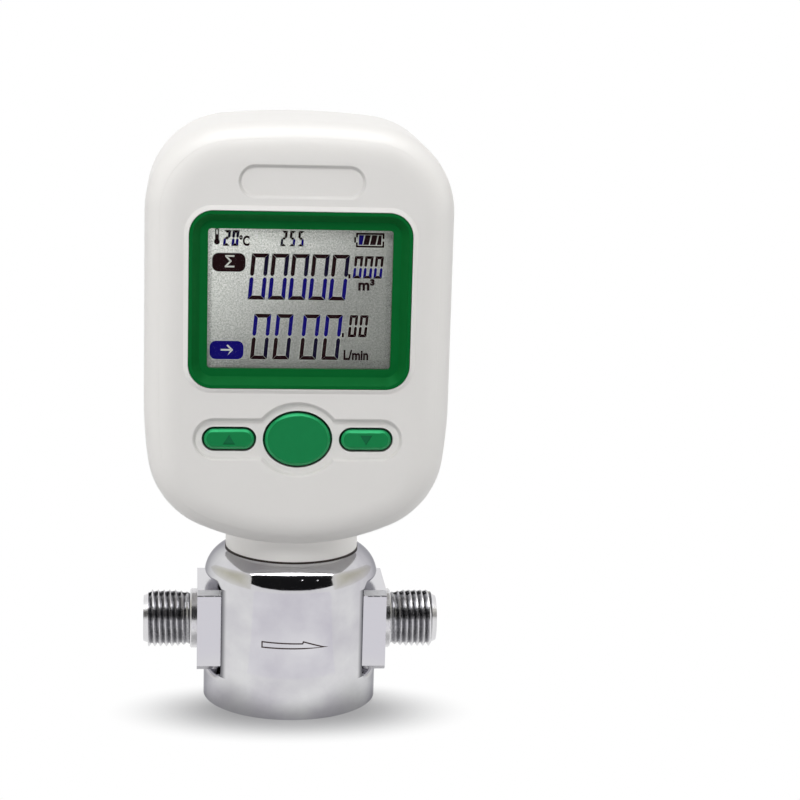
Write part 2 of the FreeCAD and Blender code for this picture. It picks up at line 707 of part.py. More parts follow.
def lcd_panel():
    """Display glass, two sheets as one laminated piece with a contact ledge."""
    middle = LCD_Y + LCD_THICKNESS / 2
    w = LCD_HALF_WIDTH
    h = LCD_HALF_HEIGHT
    front = box(-w, w, LCD_Y, middle, BEZEL_Z - h + LCD_LEDGE, BEZEL_Z + h - LCD_LEDGE)
    back = box(-w, w, middle, LCD_BACK_Y, BEZEL_Z - h, BEZEL_Z + h)
    return fuse([front, back])


def lcd_holder():
    """Frame round the display glass, standing on the board, with bars behind the strips."""
    w = LCD_HALF_WIDTH + HOLDER_CLEARANCE
    h = LCD_HALF_HEIGHT + HOLDER_CLEARANCE
    out_w = w + HOLDER_WALL
    out_h = h + HOLDER_WALL
    in_w = STRIP_HALF_WIDTH + HOLDER_CLEARANCE
    in_h = h - HOLDER_LIP
    near = LCD_Y - PAST
    front = LCD_Y + HOLDER_FRONT_GAP
    frame = box(-out_w, out_w, front, BOARD_Y, BEZEL_Z - out_h, BEZEL_Z + out_h)
    well = box(-w, w, near, LCD_BACK_Y, BEZEL_Z - h, BEZEL_Z + h)
    opening = box(-in_w, in_w, near, BOARD_Y + PAST, BEZEL_Z - in_h, BEZEL_Z + in_h)
    pieces = [frame.cut(well).cut(opening)]
    for z in STRIP_HEIGHTS:
        inward = math.copysign(1, BEZEL_Z - z)
        edge = z + inward * (STRIP_THICKNESS / 2 + STRIP_GAP)
        z0, z1 = sorted((edge, edge + inward * HOLDER_BAR))
        pieces.append(box(-out_w, out_w, LCD_BACK_Y, BOARD_Y, z0, z1))
    return fuse(pieces)


def contact_strips():
    """Two rubber strips that connect the display glass to the board."""
    w = STRIP_HALF_WIDTH
    thick = STRIP_THICKNESS / 2
    return Part.makeCompound(
        [box(-w, w, LCD_BACK_Y, BOARD_Y, z - thick, z + thick) for z in STRIP_HEIGHTS]
    )


def main_board():
    """Circuit board, with its fixing holes."""
    middle = (BOARD_TOP + BOARD_BOTTOM) / 2
    outline = rounded_rect(BOARD_WIDTH, BOARD_TOP - BOARD_BOTTOM, BOARD_CORNER, 0, middle)
    board = slab(outline, BOARD_Y, BOARD_BACK_Y)
    hole = SMALL_SCREW_RADIUS + SCREW_CLEARANCE
    for x, z in BOARD_SCREW_SPOTS:
        board = board.cut(depth_rod(hole, x, z, BOARD_Y - PAST, BOARD_BACK_Y + PAST))
    return board


def board_screws():
    """Four small screws through the board into the front housing."""
    shank = SMALL_SCREW_RADIUS - FIT_GAP
    length = BOARD_THICKNESS + BOARD_SCREW_BITE
    return Part.makeCompound(
        [
            depth_screw(x, z, BOARD_BACK_Y, shank, length, SMALL_HEAD_RADIUS, SMALL_HEAD_HEIGHT)
            for x, z in BOARD_SCREW_SPOTS
        ]
    )


def key_switches():
    """Three square switch housings, each with a well for its plunger."""
    half = SWITCH_SIZE / 2
    top = BOARD_Y - SWITCH_HEIGHT
    bore = PLUNGER_RADIUS + PLUNGER_CLEARANCE
    floor = PLUNGER_TIP_Y + PLUNGER_LENGTH + KEY_TRAVEL + PLUNGER_FOOT_GAP
    switches = []
    for x in (-PILL_X, 0, PILL_X):
        block = box(x - half, x + half, top, BOARD_Y, KEY_Z - half, KEY_Z + half)
        switches.append(block.cut(depth_rod(bore, x, KEY_Z, top - PAST, floor)))
    return Part.makeCompound(switches)


def plunger(x):
    """Moving pin of one switch."""
    return depth_rod(PLUNGER_RADIUS, x, KEY_Z, PLUNGER_TIP_Y, PLUNGER_TIP_Y + PLUNGER_LENGTH)


def key_cap(outline, flange_outline, x):
    """Moulded key with a bevelled face, a flange behind the wall and a stem."""
    cap = slab(outline, FRONT_Y, INNER_FRONT_Y + KEY_FLANGE_THICKNESS)
    rim = [edge for edge in cap.Edges if abs(edge.CenterOfMass.y - FRONT_Y) < 0.01]
    cap = cap.makeChamfer(KEY_BEVEL, rim)
    flange = slab(flange_outline, INNER_FRONT_Y, INNER_FRONT_Y + KEY_FLANGE_THICKNESS)
    stem = depth_rod(KEY_STEM_RADIUS, x, KEY_Z, INNER_FRONT_Y, PLUNGER_TIP_Y)
    return fuse([cap, flange, stem])


def arrow_mark(x, up):
    """Sunk triangle in a pill key, pointing up or down."""
    tip = KEY_Z + up * KEY_MARK_HEIGHT / 2
    foot = KEY_Z - up * KEY_MARK_HEIGHT / 2
    half = KEY_MARK_WIDTH / 2
    corners = [
        Vector(x - half, 0, foot),
        Vector(x + half, 0, foot),
        Vector(x, 0, tip),
        Vector(x - half, 0, foot),
    ]
    return slab(Part.makePolygon(corners), FRONT_Y - PAST, FRONT_Y + KEY_MARK_DEPTH)


def function_button():
    """Large oval key in the middle."""
    return key_cap(key_outlines(-KEY_GAP)[1], key_outlines(KEY_FLANGE)[1], 0)


def pill_button(index, side, up):
    """Pill key on one side, with its sunk triangle."""
    cap = key_cap(key_outlines(-KEY_GAP)[index], key_outlines(KEY_FLANGE)[index], side * PILL_X)
    return cap.cut(arrow_mark(side * PILL_X, up))


def board_chip(width, height, x):
    """Flat package on the back of the board."""
    w = width / 2
    h = height / 2
    z = BOARD_BOTTOM + CHIP_RISE
    return box(x - w, x + w, BOARD_BACK_Y, BOARD_BACK_Y + CHIP_THICKNESS, z - h, z + h)


def supply_capacitors():
    """Two cylinders that stand on the back of the board."""
    top = BOARD_BACK_Y + CAPACITOR_LENGTH
    z = BOARD_BOTTOM + CAPACITOR_RISE
    return Part.makeCompound(
        [
            depth_rod(CAPACITOR_RADIUS, x, z, BOARD_BACK_Y, top)
            for x in (CAPACITOR_X - CAPACITOR_SPACING, CAPACITOR_X)
        ]
    )


def sensor_socket():
    """Socket on the back of the board that takes the ribbon from below."""
    w = SOCKET_WIDTH / 2
    back = BOARD_BACK_Y + SOCKET_DEPTH
    body = box(-w, w, BOARD_BACK_Y, back, SOCKET_Z, SOCKET_Z + SOCKET_HEIGHT)
    half = RIBBON_WIDTH / 2 + SCREW_CLEARANCE
    y0 = SOCKET_Y - RIBBON_THICKNESS
    y1 = SOCKET_Y + RIBBON_THICKNESS
    return body.cut(box(-half, half, y0, y1, SOCKET_Z - PAST, SOCKET_Z + SOCKET_SLOT))


def sensor_ribbon():
    """Flat lead from the sensor carrier up the neck to the board's socket."""
    foot = Vector(0, 0, BLOCK_TOP)
    corner_low = Vector(0, 0, HEAD_BOTTOM + RIBBON_LOW_RISE)
    corner_high = Vector(0, SOCKET_Y, SOCKET_Z - RIBBON_HIGH_DROP)
    top = Vector(0, SOCKET_Y, SOCKET_Z + RIBBON_ENTRY)
    route = [foot, corner_low, corner_high, top]
    edges = []
    start = foot
    for before, here, after in zip(route, route[1:], route[2:]):
        back = (before - here).normalize()
        ahead = (after - here).normalize()
        half_turn = (math.pi - back.getAngle(ahead)) / 2
        trim = RIBBON_BEND * math.tan(half_turn)
        bisector = (back + ahead).normalize()
        centre = here + bisector * (RIBBON_BEND / math.cos(half_turn))
        first = here + back * trim
        last = here + ahead * trim
        middle = centre - bisector * RIBBON_BEND
        edges.append(Part.LineSegment(start, first).toShape())
        edges.append(Part.Arc(first, middle, last).toShape())
        start = last
    edges.append(Part.LineSegment(start, top).toShape())
    path = Part.Wire(edges)
    w = RIBBON_WIDTH / 2
    t = RIBBON_THICKNESS / 2
    corners = [(-w, -t), (w, -t), (w, t), (-w, t), (-w, -t)]
    profile = Part.makePolygon([Vector(x, y, foot.z) for x, y in corners])
    return path.makePipeShell([profile], True, False)


def battery(x, up):
    """One cell, with its raised terminal at the end that up points to."""
    foot = BAY_Z - up * CELL_TOTAL / 2
    shoulder = foot + up * CELL_LENGTH
    tip = foot + up * CELL_TOTAL
    can = rod(CELL_RADIUS, Vector(x, CELL_Y, foot), Vector(x, CELL_Y, shoulder))
    nub = rod(CELL_NUB_RADIUS, Vector(x, CELL_Y, shoulder), Vector(x, CELL_Y, tip))
    return fuse([can, nub])


def contact(x, wall_z, inward):
    """Plate on the bay's end wall with an arched spring that presses on the cell."""
    half = CONTACT_SIZE / 2
    plate_z = wall_z + inward * CONTACT_THICKNESS
    z0, z1 = sorted((wall_z, plate_z))
    plate = box(x - half, x + half, CELL_Y - half, CELL_Y + half, z0, z1)
    chord = half * CONTACT_ARCH_SHARE
    radius = (chord ** 2 + CONTACT_SPRING ** 2) / (2 * CONTACT_SPRING)
    centre_z = plate_z + inward * (CONTACT_SPRING - radius)
    reach = CONTACT_STRIP / 2
    outer = rod(radius, Vector(x - reach, CELL_Y, centre_z), Vector(x + reach, CELL_Y, centre_z))
    reach = reach + PAST
    inner = rod(
        radius - CONTACT_THICKNESS,
        Vector(x - reach, CELL_Y, centre_z),
        Vector(x + reach, CELL_Y, centre_z),
    )
    root_z = wall_z + inward * CONTACT_THICKNESS / 2
    z2, z3 = sorted((root_z, plate_z + inward * (CONTACT_SPRING + PAST)))
    arch = outer.cut(inner).common(box(x - half, x + half, CELL_Y - half, CELL_Y + half, z2, z3))
    return fuse([plate, arch])


def contacts(wall_z, inward):
    """Three contacts at one end of the bay."""
    return Part.makeCompound(
        [contact(i * CELL_PITCH, wall_z, inward) for i in (-1, 0, 1)]
    )


def battery_cover():
    """Flush door over the cells, with a ring that enters the bay."""
    outline = rounded_rect(COVER_WIDTH, COVER_HEIGHT, COVER_CORNER, 0, BAY_Z)
    plate = slab(outline, COVER_Y, BACK_Y)
    x = BAY_HALF_WIDTH - COVER_CLEARANCE
    z = BAY_LENGTH / 2 - COVER_CLEARANCE
    foot = COVER_Y - COVER_PLUG
    ring = box(-x, x, foot, COVER_Y, BAY_Z - z, BAY_Z + z)
    x = x - BAY_WALL
    z = z - BAY_WALL
    inside = box(-x, x, foot - PAST, COVER_Y, BAY_Z - z, BAY_Z + z)
    cover = fuse([plate, ring.cut(inside)])
    hole = SMALL_SCREW_RADIUS + SCREW_CLEARANCE
    well = SMALL_HEAD_RADIUS + SCREW_CLEARANCE
    for x, z in COVER_SCREW_SPOTS:
        cover = cover.cut(depth_rod(hole, x, z, COVER_Y - PAST, BACK_Y + PAST))
        cover = cover.cut(depth_rod(well, x, z, COVER_HEAD_SEAT, BACK_Y + PAST))
    return cover


def battery_cover_screws():
    """Two small screws that hold the door."""
    shank = SMALL_SCREW_RADIUS - FIT_GAP
    return Part.makeCompound(
        [
            depth_screw(
                x, z, COVER_HEAD_SEAT, shank, COVER_SCREW_LENGTH,
                SMALL_HEAD_RADIUS, COVER_HEAD_HEIGHT,
            )
            for x, z in COVER_SCREW_SPOTS
        ]
    )


def housing_screws():
    """Four long screws from the back into the front housing's bosses."""
    shank = SCREW_RADIUS - FIT_GAP
    return Part.makeCompound(
        [
            depth_screw(
                x, z, HOUSING_SHELF_Y, shank, HOUSING_SCREW_LENGTH,
                SCREW_HEAD_RADIUS, SCREW_HEAD_HEIGHT,
            )
            for x, z in HOUSING_SCREW_SPOTS
        ]
    )


def neck_gasket():
    """Dark ring between the neck and the metal body."""
    outer = rod(
        NECK_RADIUS + GASKET_OVERHANG, Vector(0, 0, BODY_HEIGHT), Vector(0, 0, NECK_BOTTOM)
    )
    hole = rod(
        NECK_BORE_RADIUS, Vector(0, 0, BODY_HEIGHT - PAST), Vector(0, 0, NECK_BOTTOM + PAST)
    )
    return outer.cut(hole)


def neck_flange():
    """Spool on top of the body that the two halves of the neck clamp round."""
    spool = spool_form(0)
    low = BODY_HEIGHT - PAST
    high = SPOOL_TOP + PAST
    spool = spool.cut(rod(SHELL_HOLE_RADIUS, Vector(0, 0, low), Vector(0, 0, high)))
    hole = SCREW_RADIUS + SCREW_CLEARANCE
    well = SCREW_HEAD_RADIUS + SCREW_CLEARANCE
    for x, y in SPOOL_SCREW_SPOTS:
        spool = spool.cut(rod(hole, Vector(x, y, low), Vector(x, y, high)))
        spool = spool.cut(rod(well, Vector(x, y, SPOOL_SCREW_SEAT), Vector(x, y, high)))
    return spool


def neck_flange_screws():
    """Four screws through the spool and the shell's roof into the flow block."""
    shank = SCREW_RADIUS - FIT_GAP
    length = SPOOL_SCREW_SEAT - BLOCK_TOP + SPOOL_SCREW_BITE
    return Part.makeCompound(
        [
            upright_screw(
                x, y, SPOOL_SCREW_SEAT, 1, shank, length, SCREW_HEAD_RADIUS, SCREW_HEAD_HEIGHT
            )
            for x, y in SPOOL_SCREW_SPOTS
        ]
    )


def body_profile():
    """Half section of the body: straight side, round shoulder and flat seat."""
    shoulder_x = BODY_RADIUS - SHOULDER_RADIUS
    shoulder_z = SHOULDER_Z
    rise = BODY_HEIGHT - shoulder_z
    seat_angle = math.asin(rise / SHOULDER_RADIUS)
    centre = Vector(shoulder_x, 0, shoulder_z)
    arc = arc_about(
        centre, SHOULDER_RADIUS, unit(1, 0), unit(math.cos(seat_angle), math.sin(seat_angle))
    )
    seat_x = shoulder_x + SHOULDER_RADIUS * math.cos(seat_angle)
    points = [
        Vector(seat_x, 0, BODY_HEIGHT),
        Vector(0, 0, BODY_HEIGHT),
        Vector(0, 0, 0),
        Vector(BODY_RADIUS, 0, 0),
        Vector(BODY_RADIUS, 0, shoulder_z),
    ]
    lines = [Part.LineSegment(a, b).toShape() for a, b in zip(points, points[1:])]
    return Part.Wire(Part.__sortEdges__(lines + [arc]))


def body_shell():
    """Bright body: a cylinder with a round shoulder, hollow, with two side windows."""
    solid = Part.Face(body_profile()).revolve(Vector(0, 0, 0), Vector(0, 0, 1), 360)
    middle_z = (WINDOW_BOTTOM + WINDOW_TOP) / 2
    window = rounded_rect(
        2 * WINDOW_HALF_WIDTH, WINDOW_TOP - WINDOW_BOTTOM, WINDOW_CORNER, 0, middle_z
    )
    for side in (-1, 1):
        y0, y1 = sorted((side * BODY_RADIUS / 2, side * (BODY_RADIUS + PAST)))
        cutter = slab(window, -y1, -y0)
        cutter.rotate(Vector(0, 0, 0), Vector(0, 0, 1), 90)
        solid = solid.cut(cutter)
    near = (BODY_RADIUS / 2 + math.sqrt(BODY_RADIUS ** 2 - WINDOW_HALF_WIDTH ** 2)) / 2
    rim = [
        edge
        for edge in solid.Edges
        if abs(edge.CenterOfMass.x) > near
        and WINDOW_BOTTOM - 0.1 < edge.CenterOfMass.z < WINDOW_TOP + 0.1
    ]
    solid = solid.makeFillet(WINDOW_EDGE, rim)

    inner = BODY_RADIUS - SHELL_WALL
    top = BODY_HEIGHT + PAST
    cuts = [
        rod(inner, Vector(0, 0, -PAST), Vector(0, 0, ROOF_Z)),
        rod(inner + BASE_LIP, Vector(0, 0, -PAST), Vector(0, 0, BASE_THICKNESS)),
        rod(SHELL_HOLE_RADIUS, Vector(0, 0, ROOF_Z - PAST), Vector(0, 0, top)),
    ]
    solid = solid.cut(cuts[0].multiFuse(cuts[1:]))

    posts = [
        rod(SHELL_POST_RADIUS, Vector(x, y, BLOCK_TOP), Vector(x, y, ROOF_Z + RIB_ROOT))
        for x, y in SPOOL_SCREW_SPOTS
    ]
    solid = fuse([solid] + posts)
    hole = SCREW_RADIUS + SCREW_CLEARANCE
    for x, y in SPOOL_SCREW_SPOTS:
        solid = solid.cut(rod(hole, Vector(x, y, BLOCK_TOP - PAST), Vector(x, y, top)))
    return solid


def flow_block():
    """Square bar with the gas passage, the fittings' holes and the sensor's pocket."""
    half = BLOCK_LENGTH / 2
    depth = BLOCK_DEPTH / 2
    bar = box(-half, half, -depth, depth, BLOCK_BOTTOM, BLOCK_TOP)
    long_edges = [
        edge for edge in bar.Edges if abs(edge.tangentAt(edge.FirstParameter).x) > 0.9
    ]
    bar = bar.makeChamfer(BLOCK_CHAMFER, long_edges)

    cuts = [passage(PASSAGE_RADIUS, -half - PAST, half + PAST)]
    for side in (-1, 1):
        x0, x1 = sorted((side * (SHANK_END - SEAL_THICKNESS), side * (half + PAST)))
        cuts.append(passage(SHANK_RADIUS + SHANK_CLEARANCE, x0, x1))
    cuts.append(carrier_plate(POCKET_CLEARANCE, POCKET_Z, BLOCK_TOP + PAST))
    cuts.append(blade_block(POCKET_CLEARANCE, PORT_Z, BLOCK_TOP))
    tip = POCKET_Z - SENSOR_SCREW_BITE - SHANK_CLEARANCE
    for side in (-1, 1):
        x = side * SENSOR_SCREW_X
        cuts.append(rod(SMALL_SCREW_RADIUS, Vector(x, 0, tip), Vector(x, 0, BLOCK_TOP)))
    tip = BLOCK_TOP - SPOOL_SCREW_BITE - SCREW_TIP_GAP
    for x, y in SPOOL_SCREW_SPOTS:
        cuts.append(rod(SCREW_RADIUS, Vector(x, y, tip), Vector(x, y, BLOCK_TOP + PAST)))
    tip = BLOCK_BOTTOM + BASE_SCREW_BITE + SCREW_TIP_GAP
    for x, y in circle_spots(3, BASE_SCREW_CIRCLE, 90):
        cuts.append(rod(SCREW_RADIUS, Vector(x, y, BLOCK_BOTTOM - PAST), Vector(x, y, tip)))
    return bar.cut(cuts[0].multiFuse(cuts[1:]))


def passage(radius, x0, x1):
    """Round bar along the gas passage."""
    return rod(radius, Vector(x0, 0, PORT_Z), Vector(x1, 0, PORT_Z))


def fitting_profile():
    """Half section of a pipe end: shank, collar, threaded length at its full diameter, nose."""
    face = BLOCK_LENGTH / 2
    start = face + COLLAR_LENGTH
    tail = FITTING_END - NOSE_LENGTH
    root = THREAD_RADIUS - THREAD_DEPTH
    points = [
        (SHANK_END, FITTING_BORE_RADIUS),
        (SHANK_END, SHANK_RADIUS),
        (face, SHANK_RADIUS),
        (face, COLLAR_RADIUS),
        (start + THREAD_RADIUS - COLLAR_RADIUS, COLLAR_RADIUS),
        (start, THREAD_RADIUS),
        (tail - THREAD_LEAD, THREAD_RADIUS),
        (tail, root),
        (FITTING_END, root - NOSE_DROP),
        (FITTING_END, FITTING_BORE_RADIUS),
        (SHANK_END, FITTING_BORE_RADIUS),
    ]
    return Part.makePolygon([Vector(x, 0, PORT_Z + r) for x, r in points])


def pipe_fitting(side):
    """Turned pipe end on the inlet side or the outlet side."""
    solid = Part.Face(fitting_profile()).revolve(Vector(0, 0, PORT_Z), Vector(1, 0, 0), 360)
    if side < 0:
        solid = solid.mirror(Vector(0, 0, 0), Vector(1, 0, 0))
    return solid


def port_disc(side, radius, x0, length):
    """Flat disc on the gas passage, starting at x0 and reaching inwards."""
    a, b = sorted((side * x0, side * (x0 - length)))
    return passage(radius, a, b)


def fitting_seal(side):
    """Flat seal ring at the foot of a pipe end's shank."""
    ring = port_disc(side, SHANK_RADIUS - SEAL_CLEARANCE, SHANK_END, SEAL_THICKNESS)
    hole = PASSAGE_RADIUS + SEAL_CLEARANCE
    return ring.cut(port_disc(side, hole, SHANK_END + PAST, SEAL_THICKNESS + 2 * PAST))


def gas_screen(side):
    """Fine mesh disc just inside the passage."""
    return port_disc(side, PASSAGE_RADIUS - FIT_GAP, SCREEN_X, SCREEN_THICKNESS)


def flow_straightener():
    """Honeycomb disc behind the inlet screen that calms the flow."""
    x0 = SCREEN_X - SCREEN_THICKNESS
    disc = port_disc(-1, PASSAGE_RADIUS - FIT_GAP, x0, STRAIGHTENER_LENGTH)
    holes = []
    for row in (-1, 0, 1):
        count = 3 - abs(row)
        for i in range(count):
            y = (i - (count - 1) / 2) * STRAIGHTENER_PITCH
            z = PORT_Z + row * STRAIGHTENER_PITCH * math.sqrt(3) / 2
            start = Vector(-x0 - PAST, y, z)
            end = Vector(-x0 + STRAIGHTENER_LENGTH + PAST, y, z)
            holes.append(rod(STRAIGHTENER_HOLE_RADIUS, start, end))
    return disc.cut(holes[0].multiFuse(holes[1:]))


def carrier_plate(growth, z0, z1):
    """Upright block with the outline of the sensor carrier."""
    outline = rounded_rect(
        CARRIER_LENGTH + 2 * growth, CARRIER_WIDTH + 2 * growth, CARRIER_CORNER + growth, 0, 0
    )
    plate = slab(outline, 0, z0 - z1)
    plate.rotate(Vector(0, 0, 0), Vector(1, 0, 0), -90)
    plate.translate(Vector(0, 0, z0))
    return plate


def blade_block(growth, z0, z1):
    """Upright block with the section of the carrier's blade."""
    x = BLADE_LENGTH / 2 + growth
    y = BLADE_WIDTH / 2 + growth
    return box(-x, x, -y, y, z0, z1)


def sensor_holes(shape, z0, z1):
    """The shape with clearance holes for the two sensor screws."""
    hole = SMALL_SCREW_RADIUS + SCREW_CLEARANCE
    for side in (-1, 1):
        x = side * SENSOR_SCREW_X
        shape = shape.cut(rod(hole, Vector(x, 0, z0 - PAST), Vector(x, 0, z1 + PAST)))
    return shape


def sensor_carrier():
    """Small board in the top of the block, with a blade down into the gas."""
    plate = carrier_plate(0, CARRIER_Z, BLOCK_TOP)
    blade = blade_block(0, BLADE_TIP_Z, BLOCK_TOP)
    return sensor_holes(fuse([plate, blade]), CARRIER_Z, BLOCK_TOP)


def sensor_chip():
    """Sensing element on the blade's lower face."""
    half = SENSOR_CHIP_SIZE / 2
    return box(-half, half, -half, half, BLADE_TIP_Z - SENSOR_CHIP_THICKNESS, BLADE_TIP_Z)


def sensor_gasket():
    """Flat seal between the carrier and the floor of its pocket."""
    ring = carrier_plate(-SENSOR_SEAL_INSET, POCKET_Z, CARRIER_Z)
    ring = ring.cut(blade_block(POCKET_CLEARANCE, POCKET_Z - PAST, CARRIER_Z + PAST))
    return sensor_holes(ring, POCKET_Z, CARRIER_Z)


def sensor_screws():
    """Two small screws that press the carrier on its seal."""
    shank = SMALL_SCREW_RADIUS - FIT_GAP
    length = CARRIER_THICKNESS + SENSOR_SEAL_THICKNESS + SENSOR_SCREW_BITE
    return Part.makeCompound(
        [
            upright_screw(
                side * SENSOR_SCREW_X, 0, BLOCK_TOP, 1, shank, length,
                SMALL_HEAD_RADIUS, SMALL_HEAD_HEIGHT,
            )
            for side in (-1, 1)
        ]
    )


def base_plate():
    """Round plate flush with the bottom, with a pad that carries the flow block."""
    radius = BODY_RADIUS - SHELL_WALL + BASE_LIP - BASE_CLEARANCE
    disc = rod(radius, Vector(0, 0, 0), Vector(0, 0, BASE_THICKNESS))
    pad = rod(BASE_PAD_RADIUS, Vector(0, 0, 0), Vector(0, 0, BLOCK_BOTTOM))
    plate = fuse([disc, pad])
    hole = SCREW_RADIUS + SCREW_CLEARANCE
    well = SCREW_HEAD_RADIUS + SCREW_CLEARANCE
    for x, y in circle_spots(3, BASE_SCREW_CIRCLE, 90):
        plate = plate.cut(rod(hole, Vector(x, y, -PAST), Vector(x, y, BLOCK_BOTTOM + PAST)))
        plate = plate.cut(rod(well, Vector(x, y, -PAST), Vector(x, y, BASE_SEAT_Z)))
    return plate


def base_screws():
    """Three screws up through the base plate into the flow block."""
    shank = SCREW_RADIUS - FIT_GAP
    length = BLOCK_BOTTOM - BASE_SEAT_Z + BASE_SCREW_BITE
    return Part.makeCompound(
        [
            upright_screw(x, y, BASE_SEAT_Z, -1, shank, length, SCREW_HEAD_RADIUS, SCREW_HEAD_HEIGHT)
            for x, y in circle_spots(3, BASE_SCREW_CIRCLE, 90)
        ]
    )


def all_parts():
    """Every piece under its own name."""
    parts = {
        "front_housing": front_housing(),
        "rear_housing": rear_housing(),
        "display_bezel": display_bezel(),
        "display_window": display_window(),
        "lcd_panel": lcd_panel(),
        "lcd_holder": lcd_holder(),
        "contact_strips": contact_strips(),
        "main_board": main_board(),
        "board_screws": board_screws(),
        "key_switches": key_switches(),
        "function_button": function_button(),
        "up_button": pill_button(0, -1, 1),
        "down_button": pill_button(2, 1, -1),
        "function_plunger": plunger(0),
        "up_plunger": plunger(-PILL_X),
        "down_plunger": plunger(PILL_X),
        "processor_chip": board_chip(PROCESSOR_SIZE, PROCESSOR_SIZE, -CHIP_X),
        "memory_chip": board_chip(MEMORY_WIDTH, MEMORY_HEIGHT, CHIP_X),
        "supply_capacitors": supply_capacitors(),
        "sensor_socket": sensor_socket(),
        "sensor_ribbon": sensor_ribbon(),
        "upper_contacts": contacts(BAY_TOP, -1),
        "lower_contacts": contacts(BAY_BOTTOM, 1),
        "battery_cover": battery_cover(),
        "battery_cover_screws": battery_cover_screws(),
        "housing_screws": housing_screws(),
        "neck_gasket": neck_gasket(),
        "neck_flange": neck_flange(),
        "neck_flange_screws": neck_flange_screws(),
        "body_shell": body_shell(),
        "flow_block": flow_block(),
        "inlet_fitting": pipe_fitting(-1),
        "outlet_fitting": pipe_fitting(1),
        "inlet_o_ring": fitting_seal(-1),
        "outlet_o_ring": fitting_seal(1),
        "inlet_screen": gas_screen(-1),
        "outlet_screen": gas_screen(1),
        "flow_straightener": flow_straightener(),
        "sensor_carrier": sensor_carrier(),
        "sensor_chip": sensor_chip(),
        "sensor_gasket": sensor_gasket(),
        "sensor_screws": sensor_screws(),
        "base_plate": base_plate(),
        "base_screws": base_screws(),
    }
    for i, up in zip((-1, 0, 1), (1, -1, 1)):
        parts["battery_" + str(i + 2)] = battery(i * CELL_PITCH, up)
    return parts


os.makedirs("parts", exist_ok=True)
for name, shape in all_parts().items():
    shape.exportStep("parts/" + name + ".step")
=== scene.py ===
import math

import bmesh
import bpy
from mathutils import Matrix, Vector


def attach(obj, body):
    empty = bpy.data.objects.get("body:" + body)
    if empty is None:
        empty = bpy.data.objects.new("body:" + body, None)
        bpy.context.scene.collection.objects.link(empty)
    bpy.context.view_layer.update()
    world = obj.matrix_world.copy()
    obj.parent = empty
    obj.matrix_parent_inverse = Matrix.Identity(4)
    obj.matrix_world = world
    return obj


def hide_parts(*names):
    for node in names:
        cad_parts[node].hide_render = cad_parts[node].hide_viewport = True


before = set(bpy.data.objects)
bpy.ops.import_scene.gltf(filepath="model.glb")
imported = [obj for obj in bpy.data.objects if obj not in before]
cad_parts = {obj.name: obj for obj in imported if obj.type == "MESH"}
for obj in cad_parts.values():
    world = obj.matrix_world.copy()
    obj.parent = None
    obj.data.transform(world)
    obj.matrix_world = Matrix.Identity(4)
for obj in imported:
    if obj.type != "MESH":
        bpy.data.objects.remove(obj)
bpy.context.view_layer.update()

# Head shells: the two halves of the head and neck, moulded in white ABS with a fine
# spark-eroded surface. They meet at Y = 0 and are held by four screws from the back.

MM = 0.001

# The badge recess and the keypad recess: middle, half length of the straight part, end
# radius, and half width of the rounding along the edge. An oval swells the keypad. The
# rounding has a depth, and is only in front of a plane.
BADGE_Z = 122.25 * MM
BADGE_STRAIGHT = 10.05 * MM
BADGE_RADIUS = 3.35 * MM
BADGE_BEND = 0.45 * MM
KEY_Z = 65.35 * MM
KEYPAD_STRAIGHT = 18.35 * MM
KEYPAD_RADIUS = 4.45 * MM
KEYPAD_BEND = 0.5 * MM
OVAL_HALF_WIDTH = 9.4 * MM
OVAL_HALF_HEIGHT = 8.15 * MM
EDGE_DEPTH = 0.6 * MM
FRONT_Y = -19.0 * MM


def tone(red, green, blue):
    """Linear colour of a screen colour, each channel from 0 to 255."""
    channels = [c / 255 for c in (red, green, blue)]
    linear = [c / 12.92 if c <= 0.04045 else ((c + 0.055) / 1.055) ** 2.4 for c in channels]
    return (*linear, 1.0)


class Signal:
    """An output of a node. Arithmetic on it adds Math nodes."""

    def __init__(self, tree, socket):
        self.tree = tree
        self.socket = socket

    def math(self, operation, first, second=0.0):
        node = self.tree.nodes.new("ShaderNodeMath")
        node.operation = operation
        for slot, value in zip(node.inputs, (first, second)):
            plug(self.tree, slot, value)
        return Signal(self.tree, node.outputs[0])

    def __add__(self, other):
        return self.math("ADD", self, other)

    def __radd__(self, other):
        return self.math("ADD", other, self)

    def __sub__(self, other):
        return self.math("SUBTRACT", self, other)

    def __rsub__(self, other):
        return self.math("SUBTRACT", other, self)

    def __mul__(self, other):
        return self.math("MULTIPLY", self, other)

    def __rmul__(self, other):
        return self.math("MULTIPLY", other, self)

    def __gt__(self, other):
        return self.math("GREATER_THAN", self, other)

    def __lt__(self, other):
        return self.math("LESS_THAN", self, other)

    def __pow__(self, other):
        return self.math("POWER", self, other)

    def __abs__(self):
        return self.math("ABSOLUTE", self)

    def at_least(self, other):
        return self.math("MAXIMUM", self, other)

    def at_most(self, other):
        return self.math("MINIMUM", self, other)


def plug(tree, slot, value):
    """Links a signal to a slot, or sets the slot to a plain value."""
    if isinstance(value, Signal):
        tree.links.new(value.socket, slot)
    else:
        slot.default_value = value


class Nodes:
    """The nodes of a material, or of the room."""

    def __init__(self, tree):
        self.tree = tree

    def node(self, kind, settings=None, sockets=None, output=0):
        """Adds any node: its settings first, then the values or links of its sockets."""
        node = self.tree.nodes.new(kind)
        for name, value in (settings or {}).items():
            setattr(node, name, value)
        for name, value in (sockets or {}).items():
            plug(self.tree, node.inputs[name], value)
        return Signal(self.tree, node.outputs[output])

    def blend(self, share, first, second):
        """Colour between two colours, through the sockets that a Mix node has for them."""
        sockets = {0: share, 6: first, 7: second}
        return self.node("ShaderNodeMix", {"data_type": "RGBA"}, sockets, output=2)


